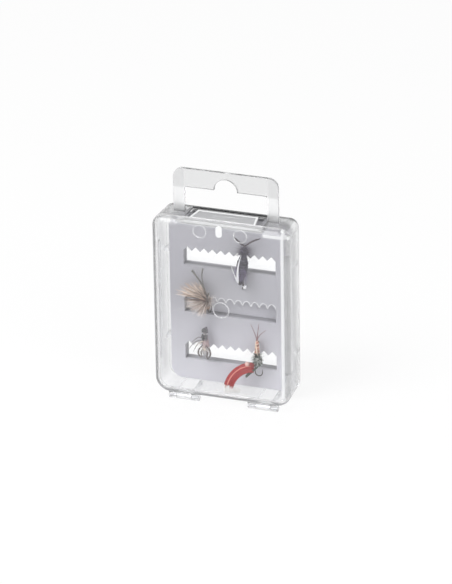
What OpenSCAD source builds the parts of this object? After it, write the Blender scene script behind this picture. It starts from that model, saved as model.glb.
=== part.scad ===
// Small clear fly box with a hang tab: a deep rear tray, a shallow front lid on two pin hinges,
// a flexing latch tongue, a toothed rack inside and the flies that hang on it.
// X runs across the box, Y from the front to the back and Z up. The origin is under the middle.

/* [Box] */
// Width of the closed box
box_w = 66; // [60:1:76]
// Height of the closed box without its feet and hang tab
box_h = 89; // [86:1:96]
// Depth of the closed box from the lid's face to the back
box_d = 20; // [19:0.5:26]
// Thickness of the clear walls
wall = 1.3; // [1.1:0.1:1.6]
// Corner radius at the top of the box
corner_top = 5; // [5:0.5:7]
// Corner radius at the bottom of the box
corner_bottom = 7; // [6:0.5:9]
// Radius of the tray's back edges
back_edge_r = 3; // [2:0.25:3]
// Radius of the lid's front edges
front_edge_r = 2.5; // [1.5:0.25:2.75]
// Radius of the fillet inside the lid's front edges
lid_fillet_r = 2.3; // [1.2:0.1:2.4]
// How far the tray's walls lean in from rim to back
tray_draft = 0.7; // [0.3:0.1:0.9]

/* [Lid and latch] */
// Depth of the lid's rim
lid_d = 3.8; // [3.4:0.1:4.4]
// Half the width of the latch tongue at its root
tongue_root_half = 15.9; // [12:0.1:16.5]
// Half the width of the latch tongue at its free end
tongue_end_half = 14.5; // [10:0.1:15.5]
// Length of the latch tongue
tongue_len = 9.2; // [7:0.1:10]
// Thickness of the latch tongue
tongue_t = 1.1; // [0.9:0.1:1.2]
// Height of the thumb nub above the lid's face
nub_proud = 0.5; // [0.3:0.1:0.8]

/* [Hang tab] */
// Half the outer width of the hang tab
tab_half = 25.25; // [24:0.25:26]
// Width of each leg of the hang tab
leg_w = 5.25; // [4.5:0.25:5.5]
// Height of the hang tab above the box
tab_rise = 21; // [19:0.5:24]
// Thickness of the hang tab
tab_t = 1.6; // [1.2:0.1:1.8]
// Depth of the bar above the window
bar_h = 9; // [8:0.5:11]
// Radius of the half-round notch for a peg
notch_r = 5.6; // [4:0.1:6]

/* [Rack] */
// Half the width of the rack
rack_half = 29.2; // [28:0.1:29.5]
// Distance from the lid's face to the rack's face
rack_front = 13.9; // [13:0.1:14.5]
// Spacing of the three slots
slot_pitch = 24; // [22:0.5:25]
// Spacing of the teeth
tooth_pitch = 4.07; // [3.6:0.01:4.4]
// Number of notches in each slot
notches = 11; // [9:2:11]
// Height of each slot up to the tips of its teeth
slot_h = 7.1; // [6:0.1:8]
// Height of a tooth
tooth_h = 2.1; // [1.5:0.1:2.5]

/* [Hinge] */
// Radius of the hinge knuckles
knuckle_r = 1.6; // [1.5:0.05:1.7]
// Radius of the hinge pins
pin_r = 0.7; // [0.6:0.05:0.8]
// Distance from the middle of the box to the middle of each hinge
hinge_x = 19.3; // [17:0.1:21]
// Length of each hinge
hinge_len = 14.4; // [12:0.2:16]

/* [Hidden] */
$fn = 64;

tiny = 0.01;
hinge_gap = 0.3;
axis_drop = knuckle_r + hinge_gap;
foot_h = axis_drop + knuckle_r;
front_y = (nub_proud - box_d) / 2;
axis_v = lid_d - 1;
running_gap = 0.05;
side_gap = 0.2;
ear_len = hinge_len / 2;
parting_gap = 0.05;
lid_rim = lid_d - parting_gap;
band = corner_top - 0.1;
fillet_end = wall + lid_fillet_r;
draft_angle = atan(tray_draft / (box_d - lid_d));
back_centre_v = box_d - back_edge_r;
back_centre_u = tan(draft_angle) * (back_centre_v - lid_d) + back_edge_r / cos(draft_angle);

recess_half = tongue_root_half + 2.3;
gate_half = recess_half + 2.4;
recess_back = 16.4;
recess_drop = 2.1;
recess_floor = box_h - recess_drop;
tongue_top = box_h - 0.3;
tongue_start = lid_d + 0.1;
catch_v = tongue_start + 6.8;
strike_v = tongue_start + 5.2;

tab_front = 9.6;
leg_foot = box_h - 1.1;
tab_top = box_h + tab_rise;
window_top = tab_top - bar_h;
tab_corner_r = 4.5;
window_corner_r = 1;

rack_t = 1.2;
rack_back = box_d - wall;
rack_skirt_back = rack_back - 1.2;
rack_bottom = 2.1;
rack_top = recess_floor - wall - 0.4;
rack_corner_r = 5.4;
rack_rib = 1;
first_slot = 12.2;
slot_half = notches * tooth_pitch / 2;
boss_r = 2.2;

// --- shared shapes -------------------------------------------------------------------------------

// Turns a shape drawn as (across, up, depth) into the box's own frame.
module in_box() {
    translate([0, front_y, foot_h]) mirror([0, 1, 0]) rotate([90, 0, 0]) children();
}

// The box's outline seen from the front, moved inwards by inset.
module outline(inset) {
    half = box_w / 2 - inset;
    top_r = max(corner_top - inset, 0);
    low_r = max(corner_bottom - inset, 0);
    translate([low_r - half, inset]) square([2 * (half - low_r), box_h - 2 * inset]);
    translate([top_r - half, inset + low_r]) square([2 * (half - top_r), box_h - 2 * inset - low_r]);
    translate([-half, inset + low_r]) square([2 * half, box_h - 2 * inset - low_r - top_r]);
    for (side = [-1, 1]) {
        translate([side * (half - low_r), inset + low_r]) circle(low_r);
        translate([side * (half - top_r), box_h - inset - top_r]) circle(top_r);
    }
}

// Sweeps a wall profile, drawn as (inwards from the outline, depth), once round the outline.
module round_outline() {
    half = box_w / 2;
    side_len = box_h - corner_top - corner_bottom;
    wall_run(2 * (half - corner_bottom)) children();
    translate([0, box_h]) rotate([0, 0, 180]) wall_run(2 * (half - corner_top)) children();
    for (side = [-1, 1])
        translate([side * half, corner_bottom + side_len / 2]) rotate([0, 0, side * 90])
            wall_run(side_len) children();
    translate([half - corner_bottom, corner_bottom]) wall_corner(corner_bottom, 270) children();
    translate([half - corner_top, box_h - corner_top]) wall_corner(corner_top, 0) children();
    translate([corner_top - half, box_h - corner_top]) wall_corner(corner_top, 90) children();
    translate([corner_bottom - half, corner_bottom]) wall_corner(corner_bottom, 180) children();
}

module wall_run(length) {
    rotate([90, 0, 90]) linear_extrude(length, center = true) children();
}

module wall_corner(radius, start) {
    rotate([0, 0, start]) rotate_extrude(angle = 90) translate([radius, 0]) mirror([1, 0]) children();
}

// A length along X of a shape drawn as (depth, up), centred on x.
module across(x, length) {
    translate([x, 0, 0]) mirror([0, 0, 1]) rotate([0, 90, 0]) linear_extrude(length, center = true) children();
}

module knuckle(radius) {
    translate([axis_v, -axis_drop]) circle(radius);
}

// --- clear shells --------------------------------------------------------------------------------

// A wall's bend: the part of a ring round centre that lies between two directions.
module wall_bend(centre, outer_r, from, to) {
    reach = 2 * outer_r;
    translate(centre) intersection() {
        difference() {
            circle(outer_r);
            circle(outer_r - wall);
        }
        polygon([[0, 0], reach * from, reach * (from + to), reach * to]);
    }
}

// The tray's wall: it leans in by the draft and rounds into the back.
module tray_profile() {
    lean = [-cos(draft_angle), sin(draft_angle)];
    centre = [back_centre_u, back_centre_v];
    polygon([
        [0, lid_d], centre + back_edge_r * lean, centre + (back_edge_r - wall) * lean, [wall / cos(draft_angle), lid_d]
    ]);
    wall_bend(centre, back_edge_r, lean, [0, 1]);
    polygon([[centre.x, box_d], [centre.x, box_d - wall], [band, box_d - wall], [band, box_d]]);
}

// The lid's wall: a short rim that rounds into the front, with a wide fillet inside.
module lid_profile() {
    difference() {
        union() {
            intersection() {
                translate([front_edge_r, front_edge_r]) circle(front_edge_r);
                square(front_edge_r);
            }
            translate([0, front_edge_r]) square([fillet_end, lid_rim - front_edge_r]);
            translate([front_edge_r, 0]) square([band - front_edge_r, fillet_end]);
        }
        translate([fillet_end, fillet_end]) circle(lid_fillet_r);
        translate([wall, fillet_end]) square([band, lid_d]);
        translate([fillet_end, wall]) square([band, lid_d]);
    }
}

// The pocket in the top wall that takes the latch tongue.
module recess_housing() {
    translate([-recess_half - wall, recess_floor - wall, lid_d])
        cube([2 * (recess_half + wall), recess_drop + wall - 0.8, recess_back + wall - lid_d]);
}

module recess_cut() {
    translate([-recess_half, recess_floor, lid_d - 1])
        cube([2 * recess_half, recess_drop + 1, recess_back - lid_d + 1]);
}

// An ear of the tray round its hinge pin, which carries on under the tray as a foot.
module tray_ear(side) {
    foot_back = box_d - 2.5;
    difference() {
        union() {
            across(side * hinge_x, ear_len) knuckle(knuckle_r);
            across(side * hinge_x, ear_len)
                polygon([
                    [axis_v, -foot_h], [foot_back, -foot_h], [foot_back + 1, -foot_h + 1],
                    [foot_back + 1, wall / 2], [lid_d + 0.5, wall / 2], [lid_d + 0.5, -hinge_gap], [axis_v, -hinge_gap]
                ]);
        }
        across(side * hinge_x, ear_len + 1) knuckle(pin_r + running_gap);
    }
}

// A lip that stands into the lid's rim along each side wall, clear of the lid's fillet.
module side_lip(side) {
    lip_low = 16;
    lip_high = box_h - 14;
    lip_gap = 0.5;
    outer = box_w / 2 - wall - lip_gap;
    translate([side * outer, 0, 0]) mirror([side > 0 ? 1 : 0, 0, 0])
        translate([0, lip_low, 0]) {
            translate([0, 0, lid_d - 1]) cube([0.8, lip_high - lip_low, 2.9]);
            translate([-lip_gap - 0.2, 0, lid_d + 0.4]) cube([lip_gap + 0.6, lip_high - lip_low, 1.5]);
        }
}

// Two upright ribs on each side wall that grip the rack.
module grip_ribs() {
    for (side = [-1, 1], up = [22, 66])
        translate([side > 0 ? rack_half : -rack_half - 2.2, up, rack_front - 1])
            cube([2.2, 1.4, rack_back - rack_front + 1.2]);
}

module rear_tray() {
    color([0.9, 0.93, 0.95, 0.35]) in_box() {
        difference() {
            union() {
                round_outline() tray_profile();
                translate([0, 0, box_d - wall]) linear_extrude(wall) outline(band - 0.1);
                recess_housing();
                for (side = [-1, 1]) tray_ear(side);
                for (side = [-1, 1]) side_lip(side);
                grip_ribs();
            }
            recess_cut();
            tab_leg_slots();
        }
        // The low strike that the tongue's bead rides over.
        translate([0, recess_floor, strike_v]) catch_bead(0.35);
    }
}

// Half-round bead along X, flat side down.
module catch_bead(height) {
    intersection() {
        rotate([0, 90, 0]) cylinder(h = 14, r = height, center = true);
        translate([-8, 0, -1]) cube([16, 1, 2]);
    }
}

module tab_leg_slots() {
    for (side = [-1, 1])
        translate([side > 0 ? tab_half - leg_w : -tab_half, leg_foot, tab_front]) cube([leg_w, 3, tab_t]);
}

// The hang tab: an inverted U whose window has a half-round notch for a peg.
module hang_tab() {
    inner = tab_half - leg_w;
    color([0.92, 0.94, 0.96, 0.4]) in_box()
        translate([0, 0, tab_front]) linear_extrude(tab_t) difference() {
            union() {
                translate([-tab_half, leg_foot]) square([2 * tab_half, tab_top - tab_corner_r - leg_foot]);
                translate([tab_corner_r - tab_half, leg_foot])
                    square([2 * (tab_half - tab_corner_r), tab_top - leg_foot]);
                for (side = [-1, 1])
                    translate([side * (tab_half - tab_corner_r), tab_top - tab_corner_r]) circle(tab_corner_r);
            }
            translate([-inner, leg_foot - 1]) square([2 * inner, window_top - window_corner_r - leg_foot + 1]);
            translate([window_corner_r - inner, leg_foot - 1])
                square([2 * (inner - window_corner_r), window_top - leg_foot + 1]);
            for (side = [-1, 1])
                translate([side * (inner - window_corner_r), window_top - window_corner_r]) circle(window_corner_r);
            translate([0, window_top]) circle(notch_r);
        }
}

// --- rack ----------------------------------------------------------------------------------------

// One slot seen from the front: a straight lower edge and a saw-toothed upper edge.
module slot_shape() {
    zigzag = [for (i = [0:notches - 1]) each [
        [slot_half - i * tooth_pitch, slot_h], [slot_half - (i + 0.5) * tooth_pitch, slot_h + tooth_h]
    ]];
    polygon(concat([[-slot_half, 0], [slot_half, 0]], zigzag, [[-slot_half, slot_h]]));
}

module rack_outline(inset) {
    half = rack_half - inset;
    low = rack_bottom + inset;
    high = rack_top - inset;
    r = rack_corner_r - inset;
    translate([-half, low + r]) square([2 * half, high - low - 2 * r]);
    translate([r - half, low]) square([2 * (half - r), high - low]);
    for (side = [-1, 1], up = [low + r, high - r]) translate([side * (half - r), up]) circle(r);
}

// A rib round the ends and the lower edge of a slot, behind the rack's face.
module slot_rib() {
    rib_depth = rack_back - rack_front - rack_t;
    translate([0, 0, rack_front + rack_t]) linear_extrude(rib_depth) difference() {
        translate([-slot_half - rack_rib, -rack_rib]) square([2 * (slot_half + rack_rib), slot_h + rack_rib]);
        translate([-slot_half, 0]) square([2 * slot_half, slot_h + 1]);
    }
}

module rack() {
    skirt_start = rack_front + rack_t;
    color([0.7, 0.7, 0.74]) in_box() {
        difference() {
            translate([0, 0, rack_front]) linear_extrude(rack_t) rack_outline(0);
            for (row = [0:2]) translate([0, first_slot + row * slot_pitch, rack_front - 1])
                linear_extrude(rack_t + 2) slot_shape();
        }
        translate([0, 0, skirt_start]) linear_extrude(rack_skirt_back - skirt_start) difference() {
            rack_outline(0);
            rack_outline(rack_rib);
        }
        for (row = [0:2]) translate([0, first_slot + row * slot_pitch, 0]) slot_rib();
        // The middle slot is a pocket, closed at the back.
        translate([-slot_half - rack_rib, first_slot + slot_pitch - rack_rib, rack_back - rack_rib])
            cube([2 * (slot_half + rack_rib), slot_h + tooth_h + 2, rack_rib]);
        for (side = [-1, 1], up = [8, rack_top - 6])
            translate([side * (rack_half - 5), up, skirt_start]) cylinder(h = rack_back - skirt_start, r = boss_r);
    }
}

// --- lid -----------------------------------------------------------------------------------------

module moulded_ring(x, up, radius) {
    translate([x, up, wall]) difference() {
        cylinder(h = 0.25, r = radius);
        translate([0, 0, -1]) cylinder(h = 2, r = radius - 0.4);
    }
}

module thumb_nub() {
    nub_r = 1.5;
    nub_low = 82.4;
    nub_high = 88;
    translate([0, 0, -nub_proud]) linear_extrude(nub_proud + wall) {
        translate([-nub_r, nub_low + nub_r]) square([2 * nub_r, nub_high - nub_low - 2 * nub_r]);
        for (up = [nub_low + nub_r, nub_high - nub_r]) translate([0, up]) circle(nub_r);
    }
}

// The two knuckles of the lid on either side of a tray ear.
module lid_knuckles(side) {
    knuckle_len = (hinge_len - ear_len) / 2 - side_gap;
    offset_x = (hinge_len - knuckle_len) / 2;
    for (end = [-1, 1]) difference() {
        union() {
            across(side * hinge_x + end * offset_x, knuckle_len) knuckle(knuckle_r);
            across(side * hinge_x + end * offset_x, knuckle_len)
                polygon([
                    [axis_v - knuckle_r, -axis_drop], [axis_v + 0.9, -axis_drop],
                    [axis_v + 0.9, wall / 2], [axis_v - knuckle_r, wall / 2]
                ]);
        }
        across(side * hinge_x + end * offset_x, knuckle_len + 1) knuckle(pin_r);
    }
}

// In front of the tongue the lid's edge is square and thin: no rounding outside and no fillet inside.
module gate() {
    translate([-gate_half, box_h - fillet_end, 0]) cube([2 * gate_half, fillet_end, wall]);
    translate([-gate_half, box_h - wall, 0]) cube([2 * gate_half, wall, lid_rim]);
}

module front_lid() {
    color([0.93, 0.95, 0.97, 0.3]) in_box() {
        difference() {
            round_outline() lid_profile();
            translate([-gate_half, box_h - fillet_end, wall]) cube([2 * gate_half, fillet_end - wall, lid_d]);
        }
        gate();
        linear_extrude(wall) outline(band - 0.1);
        for (side = [-1, 1]) {
            lid_knuckles(side);
            moulded_ring(side * 9.8, 83.6, 3.3);
        }
        moulded_ring(0, 45.3, 4);
        thumb_nub();
    }
}

module hinge_pin(side) {
    color("silver") in_box()
        translate([side * hinge_x, -axis_drop, axis_v]) rotate([0, 90, 0])
            cylinder(h = hinge_len - 0.4, r = pin_r, center = true);
}

module tongue_outline(inset) {
    polygon([
        [-tongue_root_half + inset, tongue_start + inset], [tongue_root_half - inset, tongue_start + inset],
        [tongue_end_half - inset, tongue_start + tongue_len - inset],
        [-tongue_end_half + inset, tongue_start + tongue_len - inset]
    ]);
}

// A flat tongue with a raised border, two sink marks near its root and a catch bead underneath.
module latch_tongue() {
    color([0.9, 0.93, 0.95, 0.4]) translate([0, front_y, foot_h]) difference() {
        union() {
            translate([0, 0, tongue_top - tongue_t]) linear_extrude(tongue_t - 0.3) tongue_outline(0);
            translate([0, 0, tongue_top - 0.3 - tiny]) linear_extrude(0.3 + tiny) difference() {
                tongue_outline(0);
                tongue_outline(0.9);
            }
            translate([0, catch_v, tongue_top - tongue_t]) mirror([0, 0, 1]) rotate([90, 0, 0]) catch_bead(0.3);
        }
        for (side = [-1, 1]) translate([side * 8, tongue_start + 1.8, tongue_top - 0.6]) cylinder(h = 1, r = 0.5);
    }
}

// --- flies ---------------------------------------------------------------------------------------

// Height of a slot's lower edge: row 0 is the lowest.
function row_up(row) = first_slot + row * slot_pitch;

// Places a shape drawn round a point of the box: across, height above the box's floor, depth from the lid's face.
module at(x, up, v) {
    translate([x, front_y + v, foot_h + up]) children();
}

// A hook: (x, up, v) is where the bend leaves the shank. With no turn the eye hangs down and the bend goes back.
module hook(x, up, v, shank, gape, wire, turn) {
    barb = 1.7;
    eye_r = 2.2 * wire;
    eye_wire = 0.85 * wire;
    color("#3b3a36") at(x, up, v) rotate(turn) {
        translate([0, 0, -shank]) cylinder(h = shank, r = wire, $fn = 24);
        translate([0, gape / 2, 0]) rotate([0, 0, 90]) rotate([90, 0, 0]) rotate_extrude(angle = 180)
            translate([gape / 2, 0]) circle(wire, $fn = 24);
        translate([0, gape, -barb]) cylinder(h = barb, r1 = 0.06, r2 = wire, $fn = 24);
        translate([0, 0, -shank - eye_r]) rotate([0, 90, 0]) rotate_extrude()
            translate([eye_r, 0]) circle(eye_wire, $fn = 24);
    }
}

// A dressed body turned round a line that rises from the origin, with rounded segments, slimmer towards the top.
module turned_body(length, radius, segments, bite, taper) {
    steps = segments * 4;
    rotate_extrude() polygon(concat([[0, 0]], [for (i = [0:steps])
        let (t = i / steps, groove = bite * pow(cos(180 * t * segments), 2))
        [0.18 + radius * sqrt(sin(8 + 164 * t)) * (1 - groove) * (1 - taper * t), length * t]
    ], [[0, length]]));
}

// A flat fan of pointed fibres from the origin; angles are from straight up, to the right.
module fan(count, first_len, last_len, from, to) {
    step = (to - from) / (count - 1);
    back = (from + to) / 2 + 180;
    rotate([90, 0, 0]) linear_extrude(0.35, center = true) polygon(concat([
        for (i = [0:count - 1], part = [0, 1])
            let (
                angle = from + step * (i + part / 2),
                reach = first_len + (last_len - first_len) * i / (count - 1),
                r = part == 0 ? reach * (0.9 + 0.1 * cos(137 * i)) : reach * 0.3
            )
            [r * sin(angle), r * cos(angle)]
    ], [[0.6 * sin(back), 0.6 * cos(back)]]));
}

// A thin pointed blade that stands up from the origin.
module blade(length, width, thickness) {
    rotate([90, 0, 0]) linear_extrude(thickness, center = true)
        polygon([[-width / 2, 0], [width / 2, 0], [width * 0.4, length * 0.6], [0, length], [-width * 0.4, length * 0.6]]);
}

// A stiff fibre that leaves the origin at an angle from straight up.
module quill(length, angle, root_r) {
    rotate([0, angle, 0]) cylinder(h = length, r1 = root_r, r2 = root_r * 0.3, $fn = 16);
}

eye_down = [0, 0, 0];
eye_up = [0, 180, 0];
gape = 4;

// Nymph with biot wings, head down: the hook's bend goes back through the top slot.
biot_x = 6.9;
biot_v = 12.7;
biot_low = row_up(2) - 4.6;
biot_lean = 8;

module biot_hook() {
    hook(biot_x, row_up(2) + 4.4, biot_v, 11.3, gape, 0.28, eye_down);
}

module biot_body() {
    color("#2f2836") at(biot_x - 0.8, biot_low, biot_v - 1.9) rotate([0, biot_lean, 0])
        turned_body(18.4, 2.7, 7, 0.12, 0);
}

module biot_wings() {
    color("#e8e6ea") at(biot_x - 0.4, biot_low + 1.6, biot_v - 4.3) {
        rotate([0, -21, 0]) blade(9.8, 1.3, 0.3);
        rotate([0, 10, 0]) blade(14.6, 1.3, 0.3);
    }
}

module biot_tails() {
    color("#2a2430") at(biot_x + 1.5, biot_low + 17.8, biot_v - 1.9) {
        translate([-0.5, 0, 0]) quill(7, -48, 0.42);
        translate([0.5, 0, 0]) quill(9.6, 55, 0.42);
    }
}

// Hackled fly, eye up, with a broad fan to the left and two dark strands above it.
hackled_x = -10;
hackled_v = 12.5;

module hackled_hook() {
    hook(hackled_x, row_up(1) + 3, hackled_v, 7.4, gape, 0.26, eye_up);
}

module hackled_body() {
    color("#8a6a52") at(hackled_x, row_up(1) + 3.4, hackled_v - 1) turned_body(7.6, 1.5, 3, 0.1, 0);
}

module hackled_wing() {
    color("#d9b48c") at(hackled_x + 0.6, row_up(1) + 8.8, hackled_v - 2) fan(17, 17, 9, -60, -158);
}

module hackled_tail() {
    color("#4a4038") at(hackled_x, row_up(1) + 9.6, hackled_v - 1.2) {
        translate([-0.5, 0, 0]) quill(15.4, -30, 0.45);
        translate([0.5, 0, 0]) quill(15.2, -9, 0.4);
    }
}

// Small nymph, eye up: fat at the legs, slim towards the eye.
nymph_x = -11.2;
nymph_v = 12.4;
nymph_low = row_up(0) + 3.6;

module nymph_hook() {
    hook(nymph_x, row_up(0) + 3, nymph_v, 14, gape, 0.24, eye_up);
}

module nymph_body() {
    color("#4d464c") at(nymph_x, nymph_low, nymph_v - 1.5) turned_body(15.2, 2.4, 8, 0.16, 0.62);
}

module nymph_legs() {
    color("#35303a") for (pair = [0:2], side = [-1, 1])
        at(nymph_x + 0.9 * side, nymph_low + 1.4 + 1.7 * pair, nymph_v - 2.4) quill(4.2, side * (118 - 16 * pair), 0.28);
}

// Stonefly nymph, eye up, with a dark hackled thorax at the slot and long tails.
stonefly_x = 14;
stonefly_v = 12.6;
stonefly_low = row_up(0) + 4;

module stonefly_hook() {
    hook(stonefly_x, row_up(0) + 3, stonefly_v, 10, gape, 0.3, eye_up);
}

module stonefly_body() {
    color("#c98d80") at(stonefly_x, stonefly_low, stonefly_v - 1.8) turned_body(12.2, 2.2, 8, 0.2, 0.6);
}

module stonefly_hackle() {
    color("#2c3a2e") at(stonefly_x, stonefly_low + 2.6, stonefly_v - 2.8) fan(15, 3.2, 3.2, 40, 320);
}

module stonefly_tails() {
    color("#7a4a44") at(stonefly_x, stonefly_low + 11.4, stonefly_v - 1.8) {
        translate([-0.35, 0, 0]) quill(8.4, -15, 0.3);
        translate([0.35, 0, 0]) quill(8.6, 8, 0.3);
    }
}

// Red streamer: its hook leans in the bottom slot, a stinger hook hangs from the shank and the feather curls forwards.
streamer_x = 12.3;
streamer_v = 11.9;
streamer_up = row_up(0) + 2;
streamer_lean = 36;
stinger_gape = 3.5;
feather_t = 0.8;
feather_tilt = 28;
feather_bend = [13, -13];

module streamer_hook() {
    hook(streamer_x, streamer_up, streamer_v, 6.1, gape, 0.3, [0, streamer_lean, 0]);
}

module streamer_stinger() {
    hook(streamer_x + 0.3, streamer_up - 3.2, streamer_v, 3, stinger_gape, 0.22, [0, 180, -90]);
}

// Places what is drawn in the feather's own plane, which leans forwards towards its tip.
module in_feather() {
    at(0, 16, streamer_v - 1.7) rotate([-feather_tilt, 0, 0]) rotate([90, 0, 0]) children();
}

// A curved feather: a crescent that runs from the hook down to the left.
module streamer_feather() {
    color("#c02a22") in_feather() linear_extrude(feather_t, center = true) intersection() {
        difference() {
            translate(feather_bend) circle(13.4);
            translate(feather_bend + [1, 0.4]) circle(10.2);
        }
        polygon([[-1, -13.4], [5, -12.2], [14, -8], [14, 1], [-1, 1]]);
    }
}

module streamer_tip() {
    color("#f1efec") in_feather() translate([0, 0, -feather_t]) linear_extrude(feather_t, center = true)
        translate([3.6, -12.4]) circle(3.3);
}

module streamer_head() {
    color("#e6b8ae") at(9.6, 14.6, streamer_v - 2.6) turned_body(2.4, 1.2, 1, 0, 0);
}

rear_tray();
hang_tab();
rack();
front_lid();
latch_tongue();
hinge_pin(-1);  // hinge_pin_left
hinge_pin(1);  // hinge_pin_right
biot_hook();
biot_body();
biot_wings();
biot_tails();
hackled_hook();
hackled_body();
hackled_wing();
hackled_tail();
nymph_hook();
nymph_body();
nymph_legs();
stonefly_hook();
stonefly_body();
stonefly_hackle();
stonefly_tails();
streamer_hook();
streamer_stinger();
streamer_head();
streamer_feather();
streamer_tip();
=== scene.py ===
"""Clear hinged fly box with a hang tab, a toothed rack and the dressed flies that hang on it."""

import math
from functools import reduce

import bmesh
import bpy
from bpy.props import FloatProperty, FloatVectorProperty, IntProperty, PointerProperty
from mathutils import Matrix, Vector


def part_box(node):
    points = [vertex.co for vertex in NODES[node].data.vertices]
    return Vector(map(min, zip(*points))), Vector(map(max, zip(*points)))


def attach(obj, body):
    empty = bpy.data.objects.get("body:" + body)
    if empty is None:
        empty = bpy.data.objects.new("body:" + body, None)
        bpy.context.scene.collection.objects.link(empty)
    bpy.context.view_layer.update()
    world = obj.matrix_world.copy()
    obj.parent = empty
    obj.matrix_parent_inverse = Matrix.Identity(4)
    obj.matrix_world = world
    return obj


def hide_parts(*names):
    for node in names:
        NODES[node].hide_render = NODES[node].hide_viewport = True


bl_info = {
    "name": "Fly box",
    "version": (1, 0, 0),
    "blender": (4, 5, 0),
    "location": "3D View > Sidebar > Fly box",
    "description": "Dresses a clear fly box: shells, rack, hinges and the flies inside it",
    "category": "Add Mesh",
}

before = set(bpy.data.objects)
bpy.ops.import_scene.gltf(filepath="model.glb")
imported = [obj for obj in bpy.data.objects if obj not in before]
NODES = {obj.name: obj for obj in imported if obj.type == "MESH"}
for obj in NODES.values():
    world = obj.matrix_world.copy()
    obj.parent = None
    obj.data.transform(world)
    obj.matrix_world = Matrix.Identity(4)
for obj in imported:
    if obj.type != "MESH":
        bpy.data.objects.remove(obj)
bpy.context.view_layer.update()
MM = 0.001
TAU = 2 * math.pi
TRAY = "tray"
UP = Vector((0, 0, 1))
FORWARD = Vector((0, -1, 0))
ALL_ROUND = (-180, 180)
PLASTIC_IOR = 1.49


# --- settings ------------------------------------------------------------------------------------


def colour(label, text, rgb):
    """A colour property, as linear red, green and blue."""
    return FloatVectorProperty(name=label, description=text, default=rgb, subtype="COLOR", min=0, max=1)


def share(label, text, value):
    """A property between 0 and 1."""
    return FloatProperty(name=label, description=text, default=value, min=0, max=1, subtype="FACTOR")


def size(label, text, value_mm):
    """A length property, given here in millimetres and kept in metres."""
    value = value_mm * MM
    return FloatProperty(name=label, description=text, default=value, min=0, unit="LENGTH", precision=5)


def amount(label, text, value):
    """A plain number that isn't negative."""
    return FloatProperty(name=label, description=text, default=value, min=0)


def power(label, text, value):
    """A lamp's power in watts."""
    return FloatProperty(name=label, description=text, default=value, min=0, unit="POWER")


def turned_by(label, text, degrees):
    """An angle property, given here in degrees."""
    return FloatProperty(name=label, description=text, default=math.radians(degrees), unit="ROTATION")


def count(label, text, value):
    """A number of like pieces."""
    return IntProperty(name=label, description=text, default=value, min=1, max=2000)


class BoxLooks(bpy.types.PropertyGroup):
    """Finishes of the moulded parts, with the painted shade and highlights on them."""

    clear_tint: colour("Clear tint", "Tint of the clear plastic", (0.985, 0.987, 0.99))
    # Painted shade: the edge tint greys the clear plastic's colour at a slant.
    slant_shade_tint: colour("Edge tint", "Tint of the clear plastic seen at a slant", (0.7, 0.71, 0.722))
    clear_rough: share("Clear roughness", "Roughness of the clear plastic", 0.03)
    clear_depth: amount("Clear density", "How fast light fades along a clear wall, per metre", 22.0)
    milk: share("Milkiness", "Share of the clear plastic's edges that scatters light", 0.07)
    rim_rough: share("Rim roughness", "Added roughness of the clear plastic round the rim", 0.14)
    milk_colour: colour("Milk", "Colour of the scattered light", (0.9, 0.905, 0.91))
    rack_colour: colour("Rack", "Colour of the rack's plastic", (0.53, 0.53, 0.555))
    rack_rough: share("Rack roughness", "Roughness of the rack's plastic", 0.42)
    # Painted highlight: the pale bead on the middle slot's teeth stands in for the gleam on their edges.
    tooth_highlight_radius: size("Tooth highlight", "Radius of the pale bead along the middle slot's teeth", 0.2)
    pin_colour: colour("Pins", "Colour of the hinge pins", (0.86, 0.86, 0.88))
    wire_colour: colour("Hooks", "Colour of the bronzed hook wire", (0.07, 0.06, 0.05))


class FlyDressing(bpy.types.PropertyGroup):
    """Colours, sizes and amounts of thread, fur and feather."""

    dark_fur: colour("Dark fur", "Dubbing of the nymph with biot wings", (0.035, 0.028, 0.05))
    biot: colour("Pale biot", "Pale wing biots", (0.82, 0.82, 0.84))
    quill: colour("Dark quill", "Dark tails, legs and strands", (0.055, 0.042, 0.05))
    tan_hackle: colour("Tan hackle", "Warm part of the hackle fan", (0.76, 0.55, 0.41))
    brown_hackle: colour("Brown hackle", "Dark part of the hackle fan", (0.09, 0.055, 0.045))
    cream_hackle: colour("Cream hackle", "Pale part of the hackle fan", (0.78, 0.68, 0.6))
    grey_fur: colour("Grey fur", "Abdomen of the small nymph", (0.09, 0.08, 0.1))
    rose_fur: colour("Rose fur", "Thorax of the small nymph", (0.42, 0.3, 0.31))
    pink_thread: colour("Pink thread", "Abdomen of the stonefly nymph", (0.62, 0.27, 0.19))
    green_hackle: colour("Green hackle", "Hackle of the stonefly nymph", (0.035, 0.055, 0.035))
    red_feather: colour("Red feather", "Feather of the streamer", (0.46, 0.002, 0.002))
    white_feather: colour("White feather", "Tip of the streamer's feather", (0.86, 0.85, 0.83))
    feather_inner: size("Feather inside", "Inner radius of the streamer's curled feather", 8.8)
    feather_outer: size("Feather outside", "Outer radius of the streamer's curled feather", 13.3)
    fur_count: count("Fur fibres", "Fibres of fur on a large body", 900)
    hackle_count: count("Hackle fibres", "Fibres in one bunch of hackle", 70)
    feather_count: count("Feather fibres", "Fibres in the streamer's feather", 420)


class StageSettings(bpy.types.PropertyGroup):
    """Camera and light."""

    lens: FloatProperty(
        name="Lens", description="Focal length over a 36 mm frame", default=281.63, unit="CAMERA"
    )
    camera_place: FloatVectorProperty(
        name="Camera", description="Place of the camera", subtype="TRANSLATION",
        default=(0.63874, -1.79436, 0.93629),
    )  # fmt: skip
    turn: turned_by("Turn", "Camera's turn about the box", 19.61)
    dip: turned_by("Dip", "Camera's downward angle", 24.85)
    roll: turned_by("Roll", "Camera's roll", -0.96)
    ambient: amount("Ambient", "Strength of the even light", 0.62)
    through_boost: amount("Seen through", "Brightness of white seen through the clear walls", 1.1)
    overhead: share("Overhead", "Brightness that gloss and glass show overhead", 0.3)
    key_power: power("Key light", "Power of the large soft lamp", 11.0)
    fill_power: power("Fill light", "Power of the fill lamp", 4.0)


# --- nodes ---------------------------------------------------------------------------------------


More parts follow.
